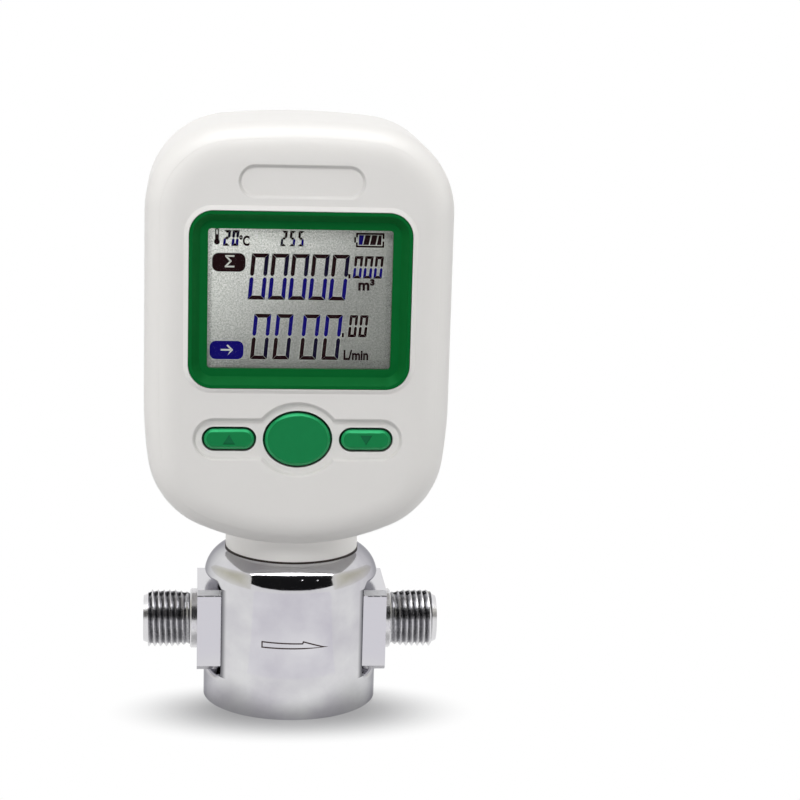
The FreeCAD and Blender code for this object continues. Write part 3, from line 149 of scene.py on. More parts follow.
class Finish(Nodes):
    """A surface finish: one material around a Principled shader."""

    def __init__(self, name, colour, roughness, metallic=0.0, **sockets):
        self.material = bpy.data.materials.new(name)
        self.material.use_nodes = True
        super().__init__(self.material.node_tree)
        self.shader = self.tree.nodes["Principled BSDF"]
        self.feed(Base_Color=colour, Roughness=roughness, Metallic=metallic, **sockets)

    def feed(self, **sockets):
        """Sets or links sockets of the shader; an underscore stands for a space."""
        for name, value in sockets.items():
            plug(self.tree, self.shader.inputs[name.replace("_", " ")], value)

    def place(self, scale=(1, 1, 1)):
        """Position on the object, stretched by a scale."""
        here = self.node("ShaderNodeTexCoord", output="Object")
        if scale == (1, 1, 1):
            return here
        return self.node("ShaderNodeMapping", sockets={"Vector": here, "Scale": scale})

    def along(self, axis):
        """One coordinate of the place on the object, in metres."""
        return self.node("ShaderNodeSeparateXYZ", sockets={"Vector": self.place()}, output=axis)

    def ramp(self, value, start, end):
        """Smooth step of a value from 0 at the start to 1 at the end."""
        sockets = {"Value": value, "From Min": start, "From Max": end}
        return self.node("ShaderNodeMapRange", {"interpolation_type": "SMOOTHSTEP"}, sockets)

    def noise(self, size, detail=2.0, scale=(1, 1, 1)):
        """Noise from 0 to 1 with spots of about the given size in metres."""
        sockets = {"Vector": self.place(scale), "Scale": 1 / size, "Detail": detail}
        return self.node("ShaderNodeTexNoise", sockets=sockets)

    def emboss(self, height, depth, strength=1.0):
        """Bump of a height field, with its full depth in metres."""
        sockets = {"Height": height, "Distance": depth, "Strength": strength}
        self.feed(Normal=self.node("ShaderNodeBump", sockets=sockets))


def dress(finish, *nodes):
    """Gives CAD nodes a finish."""
    for name in nodes:
        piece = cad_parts[name]
        if not piece.material_slots:
            piece.data.materials.append(finish.material)
        for material_slot in piece.material_slots:
            material_slot.material = finish.material


def distance(x, z):
    """Distance from the place where both coordinates are 0."""
    return (x * x + z * z) ** 0.5


def outside_pill(x, z, straight, radius):
    """Distance out from a lying pill shape, whose middle is where x and z are 0."""
    return distance((abs(x) - straight).at_least(0.0), z) - radius


white = Finish("moulded_white", tone(233, 231, 228), 0.42)
white.feed(Roughness=0.4 + 0.06 * white.noise(4 * MM))
sideways, upright = white.along("X"), white.along("Z")
badge = outside_pill(sideways, upright - BADGE_Z, BADGE_STRAIGHT, BADGE_RADIUS)
keypad = outside_pill(sideways, upright - KEY_Z, KEYPAD_STRAIGHT, KEYPAD_RADIUS)
oval = distance(sideways * (OVAL_HALF_HEIGHT / OVAL_HALF_WIDTH), upright - KEY_Z)
keypad = keypad.at_most(oval - OVAL_HALF_HEIGHT)
rounded = white.ramp(badge, -BADGE_BEND, BADGE_BEND)
rounded = rounded + white.ramp(keypad, -KEYPAD_BEND, KEYPAD_BEND)
rounded = rounded * (white.along("Y") < FRONT_Y)
white.emboss(rounded + 0.02 * white.noise(0.5 * MM), EDGE_DEPTH)
dress(white, "front_housing", "rear_housing", "battery_cover")

# Screws: zinc-plated pan heads for the head and the door, socket heads for the metal
# body, all with rolled shanks. They share one bright, slightly brushed plating.

plated = Finish("zinc_plating", tone(196, 198, 200), 0.3, 1.0)
plated.feed(Roughness=0.24 + 0.12 * plated.noise(0.6 * MM))
dress(plated, "battery_cover_screws", "housing_screws", "board_screws", "sensor_screws")
dress(plated, "neck_flange_screws", "base_screws")

# Display bezel: glossy green ABS frame with a raised outer lip and a dish that slopes
# down to the pane. It clips into the window of the front shell from behind.

bezel_green = Finish("bezel_green", tone(2, 94, 37), 0.3, Specular_IOR_Level=0.15,
                     Specular_Tint=tone(90, 255, 170))
flecked = bezel_green.blend(bezel_green.noise(3 * MM), tone(8, 93, 38), tone(11, 99, 43))
bezel_green.feed(Base_Color=flecked)
bezel_green.emboss(bezel_green.noise(0.3 * MM, 1.0), 0.01 * MM, 0.2)
dress(bezel_green, "display_bezel")

# Display glass and its clear cover: a reflective liquid crystal cell with a grainy
# silver-grey back, which holds the inks of the figures and signs. The cover is a plain
# acrylic pane that lies on it.

VIEW_LEFT = -20.1 * MM
VIEW_TOP = 111.8 * MM
INK_Y = -17.0 * MM
INK_DEPTH = 0.012 * MM
SIGN_Y = INK_Y - 2.6 * INK_DEPTH
GRAIN = MM / 3

# How fast painted shade darkens the grey away from the painted light at the upper left corner,
# per metre.
DARKER_DOWN = 15.0
DARKER_RIGHT = 11.0

cell_grey = Finish("display_grey", tone(236, 239, 232), 0.7, Specular_IOR_Level=0.1)
grain = cell_grey.noise(GRAIN, 1.0)
speckle = cell_grey.blend((grain - 0.36) * 3.6, tone(197, 201, 194), tone(255, 255, 252))
# Painted light and shade: the grey is lightest at the upper left and darkens towards the lower
# right.
shade = (VIEW_TOP - cell_grey.along("Z")) * DARKER_DOWN
shade = shade + (cell_grey.along("X") - VIEW_LEFT) * DARKER_RIGHT
painted_shade_grey = cell_grey.blend(0.69, speckle, tone(112, 116, 108))
cell_grey.feed(Base_Color=cell_grey.blend(shade, speckle, painted_shade_grey))
# Painted light: the cell gives off a glow, strongest at the upper left and gone towards the lower
# right.
painted_glow = cell_grey.blend(shade * 1.9, speckle, tone(0, 0, 0))
cell_grey.feed(Emission_Color=painted_glow, Emission_Strength=0.4)
dress(cell_grey, "lcd_panel")

pane = Finish("clear_acrylic", tone(30, 32, 31), 0.06, Alpha=0.03)
pane.feed(Roughness=0.05 + 0.03 * pane.noise(10 * MM))
dress(pane, "display_window")


def shaped(name, form):
    """Mesh of a finished form, with its faces turned outwards."""
    bmesh.ops.recalc_face_normals(form, faces=form.faces)
    mesh = bpy.data.meshes.new(name)
    form.to_mesh(mesh)
    form.free()
    return mesh


def settle(name, shape, finish, spot=Matrix()):
    """Puts a new piece, from a mesh or a curve, on the body of the meter."""
    shape.materials.append(finish.material)
    piece = bpy.data.objects.new(name, shape)
    bpy.context.scene.collection.objects.link(piece)
    piece.matrix_world = spot
    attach(piece, "meter")
    return piece


def plates(name, finish, outlines, front, back):
    """One piece of thin flat plates, each a convex outline in the plane of the display."""
    form = bmesh.new()
    for outline in outlines:
        rings = [[form.verts.new((x, y, z)) for x, z in outline] for y in (front, back)]
        form.faces.new(rings[0])
        form.faces.new(list(reversed(rings[1])))
        for i in range(len(outline)):
            j = (i + 1) % len(outline)
            form.faces.new((rings[0][j], rings[0][i], rings[1][i], rings[1][j]))
    settle(name, shaped(name, form), finish)


def grown(outline, margin):
    """Convex outline, counter-clockwise or not, moved outwards by a margin."""
    centre = [sum(p[i] for p in outline) / len(outline) for i in (0, 1)]
    sides = []
    for i, (x0, z0) in enumerate(outline):
        x1, z1 = outline[(i + 1) % len(outline)]
        length = math.hypot(x1 - x0, z1 - z0)
        nx, nz = (z1 - z0) / length, (x0 - x1) / length
        if nx * (x0 - centre[0]) + nz * (z0 - centre[1]) < 0:
            nx, nz = -nx, -nz
        sides.append((nx, nz, nx * x0 + nz * z0 + margin))
    result = []
    for i, (a, b, c) in enumerate(sides):
        d, e, f = sides[i - 1]
        turn = d * b - a * e
        result.append(((f * b - c * e) / turn, (d * c - a * f) / turn))
    return result


def at(u, v):
    """Point of the display from millimetres right of and below its upper left corner."""
    return (VIEW_LEFT + u * MM, VIEW_TOP - v * MM)


# The bars that each figure lights, and how far the figures lean for their height.
LIT = {"0": "abcdef", "2": "abged", "5": "afgcd"}
SLANT = 0.085


def digit(figure, left, base, width, height, stroke, miter):
    """Outlines of the lit bars of one seven-bar figure, by their letters."""
    half = height / 2
    tip = stroke * 0.55
    gap = miter / 2
    shapes = {
        "a": [(gap, height), (width - gap, height), (width - stroke - gap, height - stroke),
              (stroke + gap, height - stroke)],
        "d": [(gap, 0), (width - gap, 0), (width - stroke - gap, stroke), (stroke + gap, stroke)],
        "g": [(stroke * 0.6, half), (stroke * 1.1, half + stroke / 2),
              (width - stroke * 1.1, half + stroke / 2), (width - stroke * 0.6, half),
              (width - stroke * 1.1, half - stroke / 2), (stroke * 1.1, half - stroke / 2)],
    }
    upper = [(0, height - gap), (stroke, height - stroke - gap), (stroke, half + gap + tip),
             (stroke * 0.7, half + gap + tip * 0.2), (stroke * 0.3, half + gap + tip * 0.2),
             (0, half + gap + tip)]
    shapes["f"] = upper
    shapes["b"] = [(width - x, y) for x, y in upper]
    shapes["e"] = [(x, height - y) for x, y in upper]
    shapes["c"] = [(width - x, height - y) for x, y in upper]
    return {
        letter: [at(left + x + SLANT * y, base - y) for x, y in shapes[letter]]
        for letter in LIT[figure]
    }


def field(u0, v0, u1, v1, corner):
    """Rounded rectangle of the display."""
    points = []
    for cu, cv, start in ((u1, v0, 0), (u0, v0, 90), (u0, v1, 180), (u1, v1, 270)):
        cu += corner if cu == u0 else -corner
        cv += corner if cv == v0 else -corner
        for step in range(0, 91, 15):
            angle = math.radians(start + step)
            points.append(at(cu + corner * math.cos(angle), cv - corner * math.sin(angle)))
    return points


LARGE = (3.73, 10.15, 0.86, 0.16)

# Of each row: its figures, left edge, base line and pitch, then the width, height, stroke
# and gap of a figure, all in mm, and the inks of its upper left, upper right, lower left
# and lower right bars. The other bars are maroon.
rows = [
    ("00000", 8.72, 15.8, 4.41, LARGE, ("maroon", "navy", "blue", "blue")),
    ("000", 31.6, 10.85, 2.26, (1.86, 4.97, 0.62, 0.1), ("maroon", "maroon", "blue", "blue")),
    ("00", 9.4, 29.1, 4.88, LARGE, ("blue", "blue", "maroon", "navy")),
    ("00", 20.19, 29.1, 4.9, LARGE, ("blue", "blue", "maroon", "navy")),
    ("00", 30.8, 23.95, 2.3, (1.86, 4.97, 0.64, 0.1), ("maroon", "maroon", "maroon", "maroon")),
    ("20", 3.25, 4.05, 1.83, (1.4, 3.4, 0.52, 0.1), ("navy", "navy", "blue", "blue")),
    ("255", 15.7, 3.95, 1.85, (1.25, 3.35, 0.47, 0.12), ("maroon", "maroon", "navy", "blue")),
]
printed = {"maroon": [], "navy": [], "blue": []}
for figures, left, base, pitch, sizes, colours in rows:
    side_inks = dict(zip("fbec", colours))
    for i, figure in enumerate(figures):
        for letter, outline in digit(figure, left + i * pitch, base, *sizes).items():
            printed[side_inks.get(letter, "maroon")].append(outline)


def patch(u0, v0, u1, v1):
    """Upright rectangle of the display."""
    return [at(u0, v0), at(u1, v0), at(u1, v1), at(u0, v1)]


dots = [patch(30.65, 9.9, 31.15, 10.9), patch(29.5, 23.0, 30.0, 24.0)]
bulb = [at(1.93 + 0.6 * math.cos(i * math.pi / 8), 3.2 + 0.6 * math.sin(i * math.pi / 8))
        for i in range(16)]
thermometer = [bulb, patch(1.74, 1.6, 2.12, 2.8), patch(1.56, 0.4, 1.72, 2.8),
               patch(2.14, 0.4, 2.3, 2.8), patch(1.72, 0.32, 2.14, 0.48)]
battery = [
    patch(32.15, 0.77, 38.35, 1.17), patch(32.15, 3.6, 38.35, 4.0),
    patch(32.15, 1.17, 32.55, 1.8), patch(32.15, 2.9, 32.55, 3.6),
    patch(31.75, 1.75, 32.15, 2.95), patch(37.95, 1.17, 38.35, 2.1),
    patch(37.95, 2.6, 38.35, 3.6),
]
slanted = [(32.82, 33.9, 32.75, 33.56), (34.2, 35.35, 33.72, 34.95),
           (35.68, 36.84, 35.2, 36.44), (37.15, 37.75, 36.7, 37.7)]
charge = [[at(left, 1.3), at(right, 1.3), at(low_right, 3.42), at(low_left, 3.42)]
          for left, right, low_left, low_right in slanted]
total_field = field(0.95, 5.65, 8.15, 9.7, 1.35)
rate_field = field(0.57, 25.05, 8.0, 29.15, 1.35)
printed["maroon"] += dots + thermometer + battery + charge[1:] + [total_field]
printed["blue"] += [charge[0], rate_field]

halo = Finish("display_halo", tone(214, 218, 210), 0.7, Specular_IOR_Level=0.1)
halo.feed(Base_Color=halo.blend(halo.noise(0.5 * MM), tone(205, 209, 201), tone(222, 226, 218)))
inks = {
    "maroon": Finish("ink_maroon", tone(26, 3, 7), 0.6, Specular_IOR_Level=0.1),
    "navy": Finish("ink_navy", tone(10, 2, 36), 0.6, Specular_IOR_Level=0.1),
    "blue": Finish("ink_blue", tone(12, 2, 112), 0.6, Specular_IOR_Level=0.1),
}

# Every sign lies on a slightly larger pale one, so that it stands off the grey.
pale_edges = [grown(outline, 0.1 * MM) for group in printed.values() for outline in group]
plates("display_halo", halo, pale_edges, INK_Y - INK_DEPTH, INK_Y)
for colour, outlines in printed.items():
    inks[colour].feed(Roughness=0.55 + 0.1 * inks[colour].noise(2 * MM))
    plates("display_" + colour, inks[colour], outlines, INK_Y - 2 * INK_DEPTH, INK_Y)


def lettering(name, words, finish, u, v, size, weight, stretch=1.0):
    """Printed sign of the display, its lower left corner at u, v, with bolder strokes."""
    curve = bpy.data.curves.new(name, "FONT")
    curve.body = words
    curve.size = size * MM
    curve.offset = weight * MM
    curve.extrude = INK_DEPTH / 2
    x, z = at(u, v)
    turn = Matrix.Rotation(math.radians(90), 4, "X")
    spot = Matrix.Translation((x, SIGN_Y, z)) @ turn @ Matrix.Diagonal((stretch, 1, 1, 1))
    settle(name, curve, finish, spot)


lettering("display_volume_unit", "m³", inks["maroon"], 32.8, 13.4, 3.4, 0.12)
lettering("display_rate_unit", "L/min", inks["maroon"], 29.9, 28.95, 3.0, 0.1, 0.83)
lettering("display_degree", "°C", inks["maroon"], 6.7, 3.9, 2.9, 0.11, 0.72)
lettering("display_sum_mark", "Σ", halo, 3.5, 8.75, 3.6, 0.03)
lettering("display_rate_mark", "→", halo, 2.6, 28.2, 3.6, 0.04)

# Keys: three glossy green caps, moulded with a bevel round the face, each on its own
# stem. They move in the front shell and press the switches on the board.

# How far forward the painted shade on the flank, the painted highlight on the bevel, and the
# painted shade in the sunk triangles reach.
FLANK_SHADE_Y = -19.85 * MM
BEVEL_BACK_Y = -20.3 * MM
BEVEL_FRONT_Y = -20.45 * MM
MARK_Y = -20.35 * MM
PILL_X = 15.1 * MM
MARK_HALF_WIDTH = 2.0 * MM
MARK_HALF_HEIGHT = 1.6 * MM


def soften(width, *nodes, angle=40):
    """Rounds the sharp edges of CAD nodes a little, as moulding or deburring does."""
    for name in nodes:
        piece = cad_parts[name]
        weld = piece.modifiers.new("weld", "WELD")
        weld.merge_threshold = 0.002 * MM
        bevel = piece.modifiers.new("edge", "BEVEL")
        bevel.width = width
        bevel.segments = 2
        bevel.limit_method = "ANGLE"
        bevel.angle_limit = math.radians(angle)
        bevel.harden_normals = True
        bevel.use_clamp_overlap = True


key_green = Finish("key_green", tone(6, 126, 64), 0.24, Specular_IOR_Level=1.0,
                   Specular_Tint=tone(100, 255, 180))
depth = key_green.along("Y")
off_centre = abs(abs(key_green.along("X")) - PILL_X)
off_row = abs(key_green.along("Z") - KEY_Z)
in_mark = (depth > MARK_Y) * (off_centre < MARK_HALF_WIDTH) * (off_row < MARK_HALF_HEIGHT)
on_bevel = key_green.ramp(depth, BEVEL_FRONT_Y, BEVEL_BACK_Y)
moulded = key_green.blend(key_green.noise(2 * MM), tone(5, 103, 48), tone(8, 109, 52))
# Painted highlight: the bevel round the face is coloured lighter green.
bevel_highlight = key_green.blend(on_bevel * 0.6, moulded, tone(30, 156, 92))
# Painted shade: the floors of the sunk triangles are coloured dark green.
marked = key_green.blend(in_mark * 0.8, bevel_highlight, tone(0, 50, 22))
# Painted shade: the flank, deep in the gap round the cap, is coloured near black.
key_green.feed(Base_Color=key_green.blend(depth > FLANK_SHADE_Y, marked, tone(3, 16, 8)))
key_green.emboss(key_green.noise(0.4 * MM, 1.0), 0.01 * MM, 0.2)
dress(key_green, "function_button", "up_button", "down_button")
soften(0.25 * MM, "function_button", "up_button", "down_button", angle=25)

# Switches and other black mouldings: three switch housings on the board, each with a
# moving pin, the frame that holds the display glass, the cases of the chips and the
# honeycomb that straightens the flow. All are moulded in black filled plastic.

black_plastic = Finish("black_plastic", tone(30, 30, 31), 0.5)
black_plastic.feed(Roughness=0.45 + 0.1 * black_plastic.noise(MM))
dress(black_plastic, "key_switches", "function_plunger", "up_plunger", "down_plunger")
dress(black_plastic, "lcd_holder", "processor_chip", "memory_chip", "flow_straightener")

# Seals: a dark rubber ring under the neck, rings at the shanks of the pipe ends and a
# flat seal under the sensor board. They are clamped between the pieces that they seal.

rubber = Finish("dark_rubber", tone(40, 30, 27), 0.6)
rubber.feed(Roughness=0.55 + 0.12 * rubber.noise(MM))
dress(rubber, "neck_gasket", "inlet_o_ring", "outlet_o_ring", "sensor_gasket")

# Metal body: a turned cylinder with a round shoulder, polished and nickel plated, with painted
# shade along the rims of its two side windows. The square bar that carries the gas passage comes
# out of them. It is milled, with a dull chamfer that has a painted highlight, over a painted dark
# line of shade.

RIM_SHADE_START_Y = 11.9 * MM
RIM_SHADE_END_Y = 13.3 * MM
WINDOW_LOW = 7.4 * MM
WINDOW_HIGH = 28.4 * MM
SHADE_LINE_LOW = 26.0 * MM
CHAMFER_LOW = 26.3 * MM
CHAMFER_HIGH = 27.6 * MM
CHAMFER_Y = -8.9 * MM
SHADE_LINE_Y = -9.0 * MM

nickel = Finish("polished_nickel", tone(212, 211, 215), 0.07, 1.0,
                Specular_Tint=tone(176, 176, 180))
stain = (nickel.noise(11 * MM, 4.0) - 0.3) * 2.5
mottled = nickel.blend(stain, tone(194, 192, 198), tone(217, 217, 218))
level = nickel.along("Z")
# Painted shade: the cylinder is coloured dark in a strip along the rim of each window.
rim = 1.0 - nickel.ramp(abs(nickel.along("Y")), RIM_SHADE_START_Y, RIM_SHADE_END_Y)
rim = rim * (level > WINDOW_LOW) * (level < WINDOW_HIGH)
nickel.feed(Base_Color=nickel.blend(rim * 0.85, mottled, tone(96, 96, 100)))
nickel.feed(Roughness=0.05 + 0.05 * nickel.noise(6 * MM))
nickel.emboss(nickel.noise(1.2 * MM, 3.0, (1, 1, 6)), 0.004 * MM, 0.3)
dress(nickel, "body_shell")

milled = Finish("milled_nickel", tone(210, 209, 213), 0.14, 1.0)
depth, level = milled.along("Y"), milled.along("Z")
chamfer = (level > CHAMFER_LOW) * (level < CHAMFER_HIGH) * (depth < CHAMFER_Y)
# Painted shade: a dark line just under the chamfer, broken up by noise.
shade_line = (level > SHADE_LINE_LOW) * (level < CHAMFER_LOW) * (depth < SHADE_LINE_Y)
shade_line = shade_line * (milled.noise(1.2 * MM) > 0.45)
# Painted highlight: the top chamfer of the bar is coloured near white.
silver = milled.blend(chamfer, tone(208, 207, 211), tone(250, 250, 252))
milled.feed(Base_Color=milled.blend(shade_line * 0.8, silver, tone(60, 60, 62)))
milled.feed(Roughness=0.1 + 0.1 * milled.noise(2 * MM, 3.0, (1, 1, 4)) + 0.7 * chamfer)
milled.emboss(milled.noise(0.8 * MM, 3.0, (5, 1, 1)), 0.006 * MM, 0.3)
dress(milled, "flow_block", "neck_flange", "base_plate")
soften(0.12 * MM, "flow_block", angle=30)

# Flow arrow: a hollow half arrow, marked by laser on the front of the cylinder. It
# points to the outlet.

MARK_RADIUS = 20.0 * MM
MARK_WIDTH = 0.32 * MM
MARK_PROUD = 0.008 * MM
MARK_STEP = 0.5 * MM
MITRE_LIMIT = 0.35
ARROW = [
    (-7.4, 16.8), (-7.4, 18.4), (1.9, 18.25), (2.1, 18.75), (6.9, 17.2), (8.2, 16.95), (2.0, 16.8)
]

laser = Finish("laser_mark", tone(44, 26, 26), 0.5)
laser.feed(Roughness=0.45 + 0.1 * laser.noise(MM))


def mark_strip(name, outline, width, finish):
    """Closed line of a width on the cylinder, from arc lengths and heights in mm."""
    count = len(outline)
    points = [Vector((s, z)) * MM for s, z in outline]
    inner = []
    for i, here in enumerate(points):
        before = (here - points[i - 1]).normalized()
        after = (points[(i + 1) % count] - here).normalized()
        side = Vector((before.y + after.y, -before.x - after.x)).normalized()
        lean = max(MITRE_LIMIT, side.dot(Vector((after.y, -after.x))))
        inner.append(here + side * (width / lean))
    form = bmesh.new()

    def spot(point, radius):
        angle = point.x / MARK_RADIUS
        return form.verts.new((radius * math.sin(angle), -radius * math.cos(angle), point.y))

    for i in range(count):
        j = (i + 1) % count
        steps = max(1, round((points[j] - points[i]).length / MARK_STEP))
        for k in range(steps):
            ends = [(k + step) / steps for step in (0, 1)]
            quad = [points[i].lerp(points[j], t) for t in ends]
            quad += [inner[i].lerp(inner[j], t) for t in reversed(ends)]
            top = [spot(p, MARK_RADIUS + MARK_PROUD) for p in quad]
            low = [spot(p, MARK_RADIUS - MARK_PROUD) for p in quad]
            form.faces.new(top)
            form.faces.new(list(reversed(low)))
            for m in range(4):
                n = (m + 1) % 4
                form.faces.new((top[n], top[m], low[m], low[n]))
    bmesh.ops.remove_doubles(form, verts=form.verts, dist=1e-8)
    settle(name, shaped(name, form), finish)


mark_strip("flow_arrow", ARROW, MARK_WIDTH, laser)

# Pipe ends: G 1/4 male threads with a plain collar and a chamfered nose, turned from
# bar and plated. The thread is a true helix that runs out towards the collar.

# Radii, and distances from the middle of the meter along the axis, in mm.
PITCH = 1.337
ROOT = 5.7225
DEPTH = 0.856
CREST = 0.16
BORE = 4.0
SHANK = 6.2
COLLAR = 6.9
SHANK_START = 14.65
COLLAR_START = 21.65
THREAD_START = 23.25
THREAD_END = 32.9
NOSE_END = 34.0
COLLAR_CHAMFER = 0.3
NOSE_TAPER = 0.45
CREST_LIGHT_START = 5.75
CREST_LIGHT_END = 6.6
PORT_Z = 17.85

# Turns of the thread, steps round one turn, and the turns in which the thread grows from
# a share of its depth at the collar to the whole.
TURNS = math.ceil((THREAD_END - THREAD_START) / PITCH)
TURN_STEPS = 96
RUN_OUT = 2.6
FIRST_SHARE = 0.3

threaded = Finish("turned_nickel", tone(176, 175, 178), 0.18, 1.0)
off_axis = distance(threaded.along("Y"), threaded.along("Z") - PORT_Z * MM)
# Painted shade and light: the thread is coloured dark in its roots and bright on its crests and
# nose, with random mottle from noise.
crest_light_and_mottle = threaded.ramp(off_axis, CREST_LIGHT_START * MM, CREST_LIGHT_END * MM)
crest_light_and_mottle = crest_light_and_mottle + (threaded.noise(0.4 * MM, 3.0) - 0.5) * 1.6
crest_light_and_mottle = crest_light_and_mottle.at_least(abs(threaded.along("X")) > THREAD_END * MM)
threaded.feed(Base_Color=threaded.blend(crest_light_and_mottle, tone(146, 146, 149), tone(216, 215, 217)))
threaded.feed(Roughness=0.16 + 0.14 * threaded.noise(0.6 * MM))
threaded.emboss(threaded.noise(0.3 * MM), 0.01 * MM, 0.4)


def thread_radius(x, turn):
    """Radius of the helical thread at a place along the axis and a share of a turn."""
    phase = ((x - THREAD_START) / PITCH - turn) % 1.0
    away = abs(phase - 0.5) * PITCH
    flank = (PITCH - CREST) / 2
    rise = min(1.0, max(0.0, 1 - (away - CREST / 2) / flank))
    grown_share = FIRST_SHARE + (1 - FIRST_SHARE) * (x - THREAD_START) / (RUN_OUT * PITCH)
    return ROOT + DEPTH * rise * min(1.0, grown_share)


def pipe_end(name, side, node):
    """Lathe-turned pipe end with a helical thread, where CAD has a plain cylinder."""
    form = bmesh.new()
    grid = []
    for step in range(TURN_STEPS):
        turn = step / TURN_STEPS
        profile = [
            (SHANK_START, BORE), (SHANK_START, SHANK), (COLLAR_START, SHANK),
            (COLLAR_START, COLLAR), (THREAD_START - COLLAR_CHAMFER, COLLAR),
            (THREAD_START, COLLAR - COLLAR_CHAMFER), (THREAD_START, ROOT),
        ]
        for k in range(-1, TURNS + 1):
            for shift in (0.0, 0.5 - CREST / PITCH / 2, 0.5 + CREST / PITCH / 2):
                x = THREAD_START + (k + turn + shift) * PITCH
                x = min(max(x, THREAD_START), THREAD_END)
                profile.append((x, thread_radius(x, turn)))
        profile += [(THREAD_END, ROOT), (NOSE_END, ROOT - NOSE_TAPER), (NOSE_END, BORE)]
        angle = 2 * math.pi * step / TURN_STEPS
        grid.append([
            form.verts.new((
                side * x * MM,
                -side * r * math.sin(angle) * MM,
                (PORT_Z + r * math.cos(angle)) * MM,
            ))
            for x, r in profile
        ])
    length = len(grid[0])
    for i in range(TURN_STEPS):
        a, b = grid[i], grid[(i + 1) % TURN_STEPS]
        for j in range(length):
            k = (j + 1) % length
            form.faces.new((a[j], a[k], b[k], b[j]))
    bmesh.ops.remove_doubles(form, verts=form.verts, dist=0.002 * MM)
    bmesh.ops.dissolve_degenerate(form, edges=form.edges, dist=0.001 * MM)
    mesh = shaped(name, form)
    mesh.polygons.foreach_set("use_smooth", [True] * len(mesh.polygons))
    mesh.set_sharp_from_angle(angle=math.radians(30))
    piece = settle(name, mesh, threaded)
    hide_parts(node)


pipe_end("inlet_pipe_end", -1, "inlet_fitting")
pipe_end("outlet_pipe_end", 1, "outlet_fitting")

# Gas screens: fine discs woven from steel wire. They lie across the gas passage, one at
# each end, and keep dirt off the sensor.

WIRE_PITCH = MM / 3.2

woven = Finish("woven_steel", tone(150, 152, 154), 0.4, 1.0)
weave = woven.node("ShaderNodeTexVoronoi", sockets={
    "Vector": woven.place(), "Scale": 1 / WIRE_PITCH,
}, output="Distance")
woven.feed(Base_Color=woven.blend(weave * 2.0, tone(60, 60, 62), tone(190, 192, 194)))
dress(woven, "inlet_screen", "outlet_screen")

# Electronics: a green circuit board with its parts, the battery cells and contacts, and
# the sensor on its own small board, joined to the main board by a flat ribbon.

board_green = Finish("board_green", tone(20, 84, 52), 0.4)
resist = board_green.blend(board_green.noise(4 * MM, 3.0), tone(16, 74, 44), tone(26, 96, 60))
board_green.feed(Base_Color=resist)
dress(board_green, "main_board", "sensor_carrier")

silicone = Finish("strip_rubber", tone(196, 150, 150), 0.7)
layers = silicone.blend(silicone.noise(0.4 * MM), tone(180, 130, 130), tone(206, 164, 160))
silicone.feed(Base_Color=layers)
dress(silicone, "contact_strips")

ceramic = Finish("pale_plastic", tone(220, 216, 206), 0.5)
ceramic.feed(Roughness=0.45 + 0.1 * ceramic.noise(MM))
dress(ceramic, "sensor_socket", "sensor_chip")

can = Finish("aluminium_can", tone(186, 188, 192), 0.3, 1.0)
can.feed(Roughness=0.25 + 0.1 * can.noise(MM))
dress(can, "supply_capacitors")

film = Finish("ribbon_film", tone(190, 120, 40), 0.3)
film.feed(Roughness=0.25 + 0.1 * film.noise(2 * MM))
dress(film, "sensor_ribbon")

spring_metal = Finish("contact_nickel", tone(196, 194, 188), 0.2, 1.0)
spring_metal.feed(Roughness=0.15 + 0.1 * spring_metal.noise(2 * MM))
dress(spring_metal, "upper_contacts", "lower_contacts")

jacket = Finish("cell_jacket", tone(46, 74, 108), 0.25)
jacket.feed(Roughness=0.2 + 0.1 * jacket.noise(3 * MM))
dress(jacket, "battery_1", "battery_2", "battery_3")

# Studio: a pale table, a white room, and soft lamps above and all round. Plain cards
# stand round the table for the metal to reflect. None of it is part of the meter.

WHITE = (1, 1, 1, 1)
TABLE_REACH = 3.0

# The table shows its shade in an oval round the foot of the meter, and is white outside.
SHADE_Y = -14.0 * MM
SHADE_HALF_WIDTH = 51.0 * MM
SHADE_HALF_DEPTH = 25.5 * MM
SHADE_FADE = (0.25, 0.85)


def seen(nodes):
    """1 for the rays that show the background: straight, in gloss or through a clear piece."""
    kinds = ("Is Camera Ray", "Is Glossy Ray", "Is Transmission Ray")
    straight, gloss, clear = (nodes.node("ShaderNodeLightPath", output=kind) for kind in kinds)
    return straight + gloss + clear > 0.5


def show(nodes, shader):
    """Makes a shader the surface of its material."""
    plug(nodes.tree, nodes.tree.nodes["Material Output"].inputs["Surface"], shader)


table = Finish("table_pale", tone(188, 188, 189), 0.9, Specular_IOR_Level=0.0)
beside = distance(
    table.along("X") * (1 / SHADE_HALF_WIDTH),
    (table.along("Y") - SHADE_Y) * (1 / SHADE_HALF_DEPTH),
)
bright = table.node("ShaderNodeEmission", sockets={"Color": WHITE})
shaded = Signal(table.tree, table.shader.outputs[0])
share = seen(table) * table.ramp(beside, *SHADE_FADE)
show(table, table.node("ShaderNodeMixShader", sockets={0: share, 1: shaded, 2: bright}))


def sheet(name, points, faces, material):
    """Thin surface that belongs to the studio."""
    mesh = bpy.data.meshes.new(name)
    mesh.from_pydata(points, [], faces)
    mesh.materials.append(material)
    piece = bpy.data.objects.new(name, mesh)
    bpy.context.scene.collection.objects.link(piece)
    return piece


corners = [(TABLE_REACH * x, TABLE_REACH * y, 0) for x, y in ((-1, -1), (1, -1), (1, 1), (-1, 1))]
sheet("table", corners, [(0, 1, 2, 3)], table.material)

# The cards stand round a place on the metal shoulder. A card has rings of points from
# its middle to its rim, for its curve and for the fade of its colour.
SHOULDER = Vector((0, -18, 33)) * MM
CARD_RINGS = 5
FADE_POWER = 1.6
FOOT_CARD_RADIUS = 45 * MM


